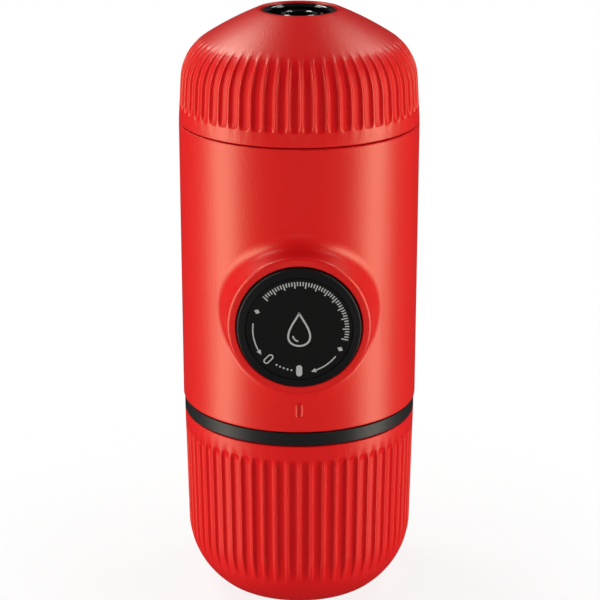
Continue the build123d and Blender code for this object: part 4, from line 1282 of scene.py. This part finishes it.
class InkShapes:
    """Flat printed shapes, collected into one thin closed mesh."""

    def __init__(self, thickness: float) -> None:
        """Start with nothing printed.

        Args:
            thickness: how far the ink stands out; it sinks in as far.
        """
        self.thickness = thickness
        self.corners: list[Place] = []
        self.faces: list[tuple[int, ...]] = []

    def levels(self, outline: Outline) -> tuple[int, int]:
        """Add an outline at the bottom and at the top of the ink.

        Args:
            outline: its corners in order.

        Returns:
            Number of the first corner at the bottom, and at the top.
        """
        first = len(self.corners)
        for level in (-self.thickness, self.thickness):
            self.corners += [(u, v, level) for u, v in outline]
        return first, first + len(outline)

    def fill(self, outline: Outline) -> None:
        """Print a filled shape.

        Args:
            outline: its corners in order.
        """
        count = len(outline)
        low, high = self.levels(outline)
        self.faces.append(tuple(range(high, high + count)))
        self.faces.append(tuple(range(low + count - 1, low - 1, -1)))
        for index in range(count):
            after = (index + 1) % count
            self.faces.append((low + index, low + after, high + after, high + index))

    def ribbon(self, line: Outline, width: float, closed: bool) -> None:
        """Print a stroke along a line.

        Args:
            line: the stroke's centre line.
            width: the stroke's width.
            closed: whether the line's end joins its start.
        """
        count = len(line)
        left, right = [], []
        for index, (u, v) in enumerate(line):
            before = line[index - 1] if closed or index else line[0]
            after = line[(index + 1) % count] if closed or index + 1 < count else line[-1]
            du, dv = after[0] - before[0], after[1] - before[1]
            share = width / 2 / math.hypot(du, dv)
            left.append((u - dv * share, v + du * share))
            right.append((u + dv * share, v - du * share))
        left_low, left_high = self.levels(left)
        right_low, right_high = self.levels(right)
        edges = (left_high, right_high, right_low, left_low)
        for index in range(count if closed else count - 1):
            after = (index + 1) % count
            for edge, following in zip(edges, edges[1:] + edges[:1]):
                self.faces.append((edge + index, edge + after, following + after, following + index))
        if not closed:
            self.faces += [tuple(edge + end for edge in edges) for end in (0, count - 1)]

    def piece(self, name: str, place: Matrix) -> Piece:
        """Lay the print on its face.

        Args:
            name: name of the piece.
            place: lays the plane on the face.

        Returns:
            The finished piece.
        """
        mesh = bpy.data.meshes.new(name)
        mesh.from_pydata(self.corners, [], self.faces)
        mesh.transform(place)
        turn_outwards(mesh)
        mesh.materials.append(PRINT_GREY.material())
        return in_scene(name, mesh)


@dataclass
class KnobPrint:
    """Generic pad print on the knob's cap: lock marks, turn arrows, scale ring and a droplet.

    Angles are clockwise from the top of the face.
    """

    knob_height: float = KNOB_HEIGHT
    face: float = -39.95 * MM
    thickness: float = 0.03 * MM
    mark_radius: float = 10.85 * MM
    pill_width: float = 1.5 * MM
    pill_length: float = 2.95 * MM
    stroke: float = 0.32 * MM
    full_pill_deg: float = 180.0
    open_pill_deg: float = 224.5
    dot_degs: tuple[float, ...] = (190.2, 195.4, 200.7, 205.9, 211.1)
    dot_width: float = 0.50 * MM
    scale_degs: tuple[float, float] = (-46.0, 103.0)
    scale_ticks: int = 45
    long_tick_every: int = 4
    scale_outer: float = 12.35 * MM
    short_tick: float = 1.05 * MM
    long_tick: float = 1.65 * MM
    tick_width: float = 0.30 * MM
    lozenge_degs: tuple[float, float] = (-65.7, 116.8)
    lozenge_radius: float = 11.35 * MM
    lozenge_half_width: float = 0.62 * MM
    lozenge_half_height: float = 0.775 * MM
    arrow_radius: float = 11.45 * MM
    arrow_degs: tuple[tuple[float, float], ...] = ((-82.0, -119.0), (128.0, 159.0))
    arrow_half_width: float = 0.589 * MM
    arrow_tip_length: float = 1.1875 * MM
    drop_half_width: float = 2.8 * MM
    drop_half_height: float = 4.3 * MM
    drop_swell: float = 0.726
    drop_stroke: float = 0.46 * MM
    glint_centre: float = -1.548 * MM
    glint_radius: float = 1.54 * MM
    glint_degs: tuple[float, float] = (185.0, 262.0)
    glint_stroke: float = 0.391 * MM

    @staticmethod
    def clock(radius: float, clock_deg: float) -> Point:
        """Place on the face at one radius and angle."""
        angle = math.radians(clock_deg)
        return radius * math.sin(angle), radius * math.cos(angle)

    def laid(self, clock_deg: float, shape: Outline, radius: float) -> Outline:
        """Turn a shape with the dial and move it out to a radius.

        Args:
            clock_deg: angle on the dial.
            shape: the shape's corners, up the face.
            radius: how far out its middle goes.

        Returns:
            The shape's corners on the face.
        """
        sine, cosine = self.clock(1.0, clock_deg)
        return [(u * cosine + (v + radius) * sine, (v + radius) * cosine - u * sine) for u, v in shape]

    def pill(self, inset: float = 0.0) -> Outline:
        """Outline of the pill mark.

        Args:
            inset: how far the outline is drawn in.

        Returns:
            Its corners round both ends.
        """
        half, end = self.pill_width / 2 - inset, (self.pill_length - self.pill_width) / 2
        ends = ((end, 0.0), (-end, 180.0))
        return [point for up, start in ends for point in arc((0.0, up), half, start, start + 180.0, steps=12)]

    def lozenge(self) -> Outline:
        """Outline of the lozenge mark."""
        width, height = self.lozenge_half_width, self.lozenge_half_height
        return [(width, 0.0), (0.0, height), (-width, 0.0), (0.0, -height)]

    def droplet(self) -> Outline:
        """Centre line of the droplet's outline.

        Returns:
            Its points, from the tip round.
        """
        line = []
        for t in spread(0.0, FULL_TURN, steps=64)[:-1]:
            swell = math.sin(t) * math.sin(t / 2) ** 1.5 / self.drop_swell
            line.append((self.drop_half_width * swell, self.drop_half_height * math.cos(t)))
        return line

    def arrow_line(self, first_deg: float, last_deg: float) -> Outline:
        """Centre line of a turn arrow's shaft."""
        return [self.clock(self.arrow_radius, a) for a in spread(first_deg, last_deg, steps=14)]

    def arrow_tip(self, first_deg: float, last_deg: float) -> Outline:
        """Triangle at the end of a turn arrow.

        Args:
            first_deg: angle at which the arrow starts.
            last_deg: angle at which its shaft ends.

        Returns:
            The triangle's corners.
        """
        onward = math.copysign(self.arrow_tip_length, last_deg - first_deg)
        return [
            self.clock(self.arrow_radius + self.arrow_half_width, last_deg),
            self.clock(self.arrow_radius, last_deg + math.degrees(onward / self.arrow_radius)),
            self.clock(self.arrow_radius - self.arrow_half_width, last_deg),
        ]

    def icons(self) -> InkShapes:
        """The lock marks, lozenges, arrows and droplet.

        Returns:
            All the shapes that aren't part of a field of marks.
        """
        ink = InkShapes(self.thickness)
        ink.fill(self.laid(self.full_pill_deg, self.pill(), self.mark_radius))
        ring = self.laid(self.open_pill_deg, self.pill(self.stroke / 2), self.mark_radius)
        ink.ribbon(ring, self.stroke, closed=True)
        for clock_deg in self.lozenge_degs:
            ink.fill(self.laid(clock_deg, self.lozenge(), self.lozenge_radius))
        for degs in self.arrow_degs:
            ink.ribbon(self.arrow_line(*degs), self.stroke, closed=False)
            ink.fill(self.arrow_tip(*degs))
        ink.ribbon(self.droplet(), self.drop_stroke, closed=True)
        glint = arc((0.0, self.glint_centre), self.glint_radius, *self.glint_degs, steps=12)
        ink.ribbon(glint, self.glint_stroke, closed=False)
        return ink

    def field(self, marks: list[Mark], round_marks: bool) -> MarkField:
        """Marks as thick as the rest of the ink."""
        return MarkField(marks, round_marks, 2 * self.thickness)

    def dots(self) -> MarkField:
        """The dots between the lock marks."""
        sizes = (0.0, self.dot_width, self.dot_width)
        return self.field([Mark(*self.clock(self.mark_radius, a), *sizes) for a in self.dot_degs], True)

    def scale(self) -> MarkField:
        """The ring of ticks.

        Returns:
            The ticks, every few of them long.
        """
        marks = []
        for index, a in enumerate(spread(*self.scale_degs, self.scale_ticks - 1)):
            length = self.short_tick if index % self.long_tick_every else self.long_tick
            at = self.clock(self.scale_outer - length / 2, a)
            marks.append(Mark(*at, -math.radians(a), self.tick_width, length))
        return self.field(marks, False)

    def build(self) -> list[Piece]:
        """Print everything and let it turn with the knob.

        Returns:
            The finished pieces.
        """
        place = Matrix.Translation((0.0, self.face, self.knob_height)) @ Matrix.Rotation(math.pi / 2, 4, "X")
        pieces = [
            self.icons().piece("knob_print_icons", place),
            self.dots().printed("knob_print_dots", place),
            self.scale().printed("knob_print_scale", place),
        ]
        for piece in pieces:
            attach(piece, "knob")
        return pieces


# ---------------------------------------------------------------- studio


@dataclass(frozen=True)
class Softbox:
    """A rectangular light that looks at the object's middle.

    Its radiance is its watts over four times its area.
    """

    name: str
    azimuth_deg: float
    elevation_deg: float
    distance: float
    width: float
    height: float
    radiance: float
    mirrored: bool = True
    in_reflections: bool = True
    colour: Colour = (1.0, 1.0, 1.0)
    watts_per_area: float = 4.0

    def place(self, target: Vector) -> None:
        """Add the light, and its mirror image where it has one.

        Args:
            target: the point that the light looks at.
        """
        azimuth, elevation = math.radians(self.azimuth_deg), math.radians(self.elevation_deg)
        for side in (1, -1) if self.mirrored else (1,):
            data = bpy.data.lights.new(self.name, "AREA")
            data.shape = "RECTANGLE"
            data.size = self.width
            data.size_y = self.height
            data.energy = self.radiance * self.watts_per_area * self.width * self.height
            data.color = self.colour
            light = in_scene(self.name, data)
            across = side * math.sin(azimuth) * math.cos(elevation)
            away = Vector((across, -math.cos(azimuth) * math.cos(elevation), math.sin(elevation)))
            light.location = target + self.distance * away
            light.rotation_euler = (target - light.location).to_track_quat("-Z", "Y").to_euler()
            light.visible_camera = False
            light.visible_glossy = self.in_reflections


SIDE_BOX = Softbox(
    "side_box", azimuth_deg=76.0, elevation_deg=0.0, distance=0.80, width=0.38, height=1.10, radiance=4.6,
    colour=(1.0, 0.94, 0.82),
)
LEFT_SHOULDER_BOX = Softbox(
    "left_shoulder_box", azimuth_deg=-128.0, elevation_deg=48.0, distance=0.80, width=0.34, height=0.34,
    radiance=6.6, mirrored=False,
)
RIGHT_SHOULDER_BOX = Softbox(
    "right_shoulder_box", azimuth_deg=128.0, elevation_deg=48.0, distance=0.80, width=0.34, height=0.34,
    radiance=3.6, mirrored=False,
)
FRONT_FILL = Softbox(
    "front_fill", azimuth_deg=0.0, elevation_deg=8.0, distance=1.20, width=0.60, height=0.60,
    radiance=3.8, mirrored=False, in_reflections=False,
)


@dataclass
class Studio:
    """Camera, softboxes, world and the pale floor.

    The shadow's share on the floor is whole up to one radius and has faded out at the other.
    """

    camera_place: Place = (0.0002, -0.5221, 0.2565)
    camera_pitch_deg: float = 18.84
    camera_nearest: float = 0.01
    focal_pixels: float = 2079.0
    frame_pixels: float = 600.0
    sensor_mm: float = 36.0
    floor_size: float = 6.0
    floor_drop: float = 0.05 * MM
    floor_tone: float = 0.42
    floor_roughness: float = 0.9
    floor_specular: float = 0.1
    shadow_share: float = 0.18
    shadow_whole: float = 0.03
    shadow_gone: float = 0.13
    world_radiance: float = 0.015
    mirrored_white: float = 0.02
    middle: Place = (0.0, 0.0, 0.09)
    lights: tuple[Softbox, ...] = (SIDE_BOX, LEFT_SHOULDER_BOX, RIGHT_SHOULDER_BOX, FRONT_FILL)

    def build(self) -> None:
        """Make everything that isn't part of the object."""
        self.add_camera()
        self.add_floor()
        for light in self.lights:
            light.place(Vector(self.middle))
        self.add_world()
        bpy.context.scene.view_settings.view_transform = "Standard"

    def add_camera(self) -> None:
        """Camera in front of the object and a little above it, with a long lens."""
        data = bpy.data.cameras.new("camera")
        data.sensor_width = self.sensor_mm
        data.lens = self.sensor_mm * self.focal_pixels / self.frame_pixels
        data.clip_start = self.camera_nearest
        camera = in_scene("camera", data)
        camera.location = self.camera_place
        camera.rotation_euler = (math.radians(90.0 - self.camera_pitch_deg), 0.0, 0.0)
        bpy.context.scene.camera = camera

    def add_floor(self) -> None:
        """Plain pale floor that keeps the shadow and lets the camera see the white world behind it."""
        half, low = self.floor_size / 2, -self.floor_drop
        corners = [(-half, -half, low), (half, -half, low), (half, half, low), (-half, half, low)]
        mesh = bpy.data.meshes.new("floor")
        mesh.from_pydata(corners, [], [(0, 1, 2, 3)])
        mesh.materials.append(self.floor_material())
        floor = in_scene("floor", mesh)
        floor.visible_glossy = False
        floor.visible_shadow = False

    def floor_material(self) -> bpy.types.Material:
        """Pale to all light, but nearly clear to the camera from above and clear from below.

        Returns:
            The floor's material.
        """
        material = bpy.data.materials.new("pale_floor")
        material.use_nodes = True
        b = TreeBuilder(material.node_tree)
        shader, output = (material.node_tree.nodes[name] for name in ("Principled BSDF", "Material Output"))
        plain = {"Roughness": self.floor_roughness, "Specular IOR Level": self.floor_specular}
        b.fill(shader, {"Base Color": (*[self.floor_tone] * 3, 1.0), **plain})
        clear = b.out("ShaderNodeBsdfTransparent")
        lit = b.out("ShaderNodeBsdfDiffuse", {"Color": WHITE})
        place = b.add("ShaderNodeTexCoord").outputs["Object"]
        away = b.add("ShaderNodeVectorMath", {0: place}, operation="LENGTH").outputs["Value"]
        fade = {
            "Value": away,
            "From Min": self.shadow_whole,
            "From Max": self.shadow_gone,
            "To Min": self.shadow_share,
            "To Max": 0.0,
        }
        share = b.out("ShaderNodeMapRange", fade, interpolation_type="SMOOTHSTEP")
        seen = b.mixed_shader(share, clear, lit)
        to_camera = b.add("ShaderNodeLightPath").outputs["Is Camera Ray"]
        shown = b.mixed_shader(to_camera, shader.outputs[0], seen)
        below = b.add("ShaderNodeNewGeometry").outputs["Backfacing"]
        b.fill(output, {"Surface": b.mixed_shader(below, shown, clear)})
        return material

    def add_world(self) -> None:
        """Even pale surroundings: white to the camera and through glass, with a share of it in gloss."""
        world = bpy.data.worlds.new("studio_world")
        bpy.context.scene.world = world
        world.use_nodes = True
        world.node_tree.nodes.clear()
        b = TreeBuilder(world.node_tree)
        ambient = b.out("ShaderNodeBackground", {"Color": WHITE, "Strength": self.world_radiance})
        white = b.out("ShaderNodeBackground", {"Color": WHITE})
        path = b.add("ShaderNodeLightPath").outputs
        direct = b.math("MAXIMUM", path["Is Camera Ray"], path["Is Transmission Ray"])
        glossy = b.math("MULTIPLY", path["Is Glossy Ray"], self.mirrored_white)
        surface = b.mixed_shader(b.math("MAXIMUM", direct, glossy), ambient, white)
        b.add("ShaderNodeOutputWorld", {"Surface": surface})


def dress_frame_nodes(frame: dict) -> None:
    """Give every frame node the finish of its slot.
    """
    by_slot = {finish.slot.value: finish for finish in NODE_FINISHES}
    for entry in frame["record"]["subparts"]:
        material = by_slot[entry["material_slot"]].material()
        for material_slot in frame["nodes"][entry["node"]].material_slots:
            material_slot.material = material
        LOG.info("dressed %s with %s", entry["node"], material.name)


def main() -> None:
    """Build the looks piece by piece."""
    logging.basicConfig(level=logging.INFO, format="%(name)s: %(message)s")
    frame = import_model()
    Studio().build()
    dress_frame_nodes(frame)
    for part in (CupJacket(), DomeJacket(), BossRim(), NozzleTrim(), KnobPrint(), ReturnSpring(), Threads()):
        for piece in part.build():
            LOG.info("made %s, %d faces", piece.name, len(piece.data.polygons))


if __name__ == "__main__":
    main()
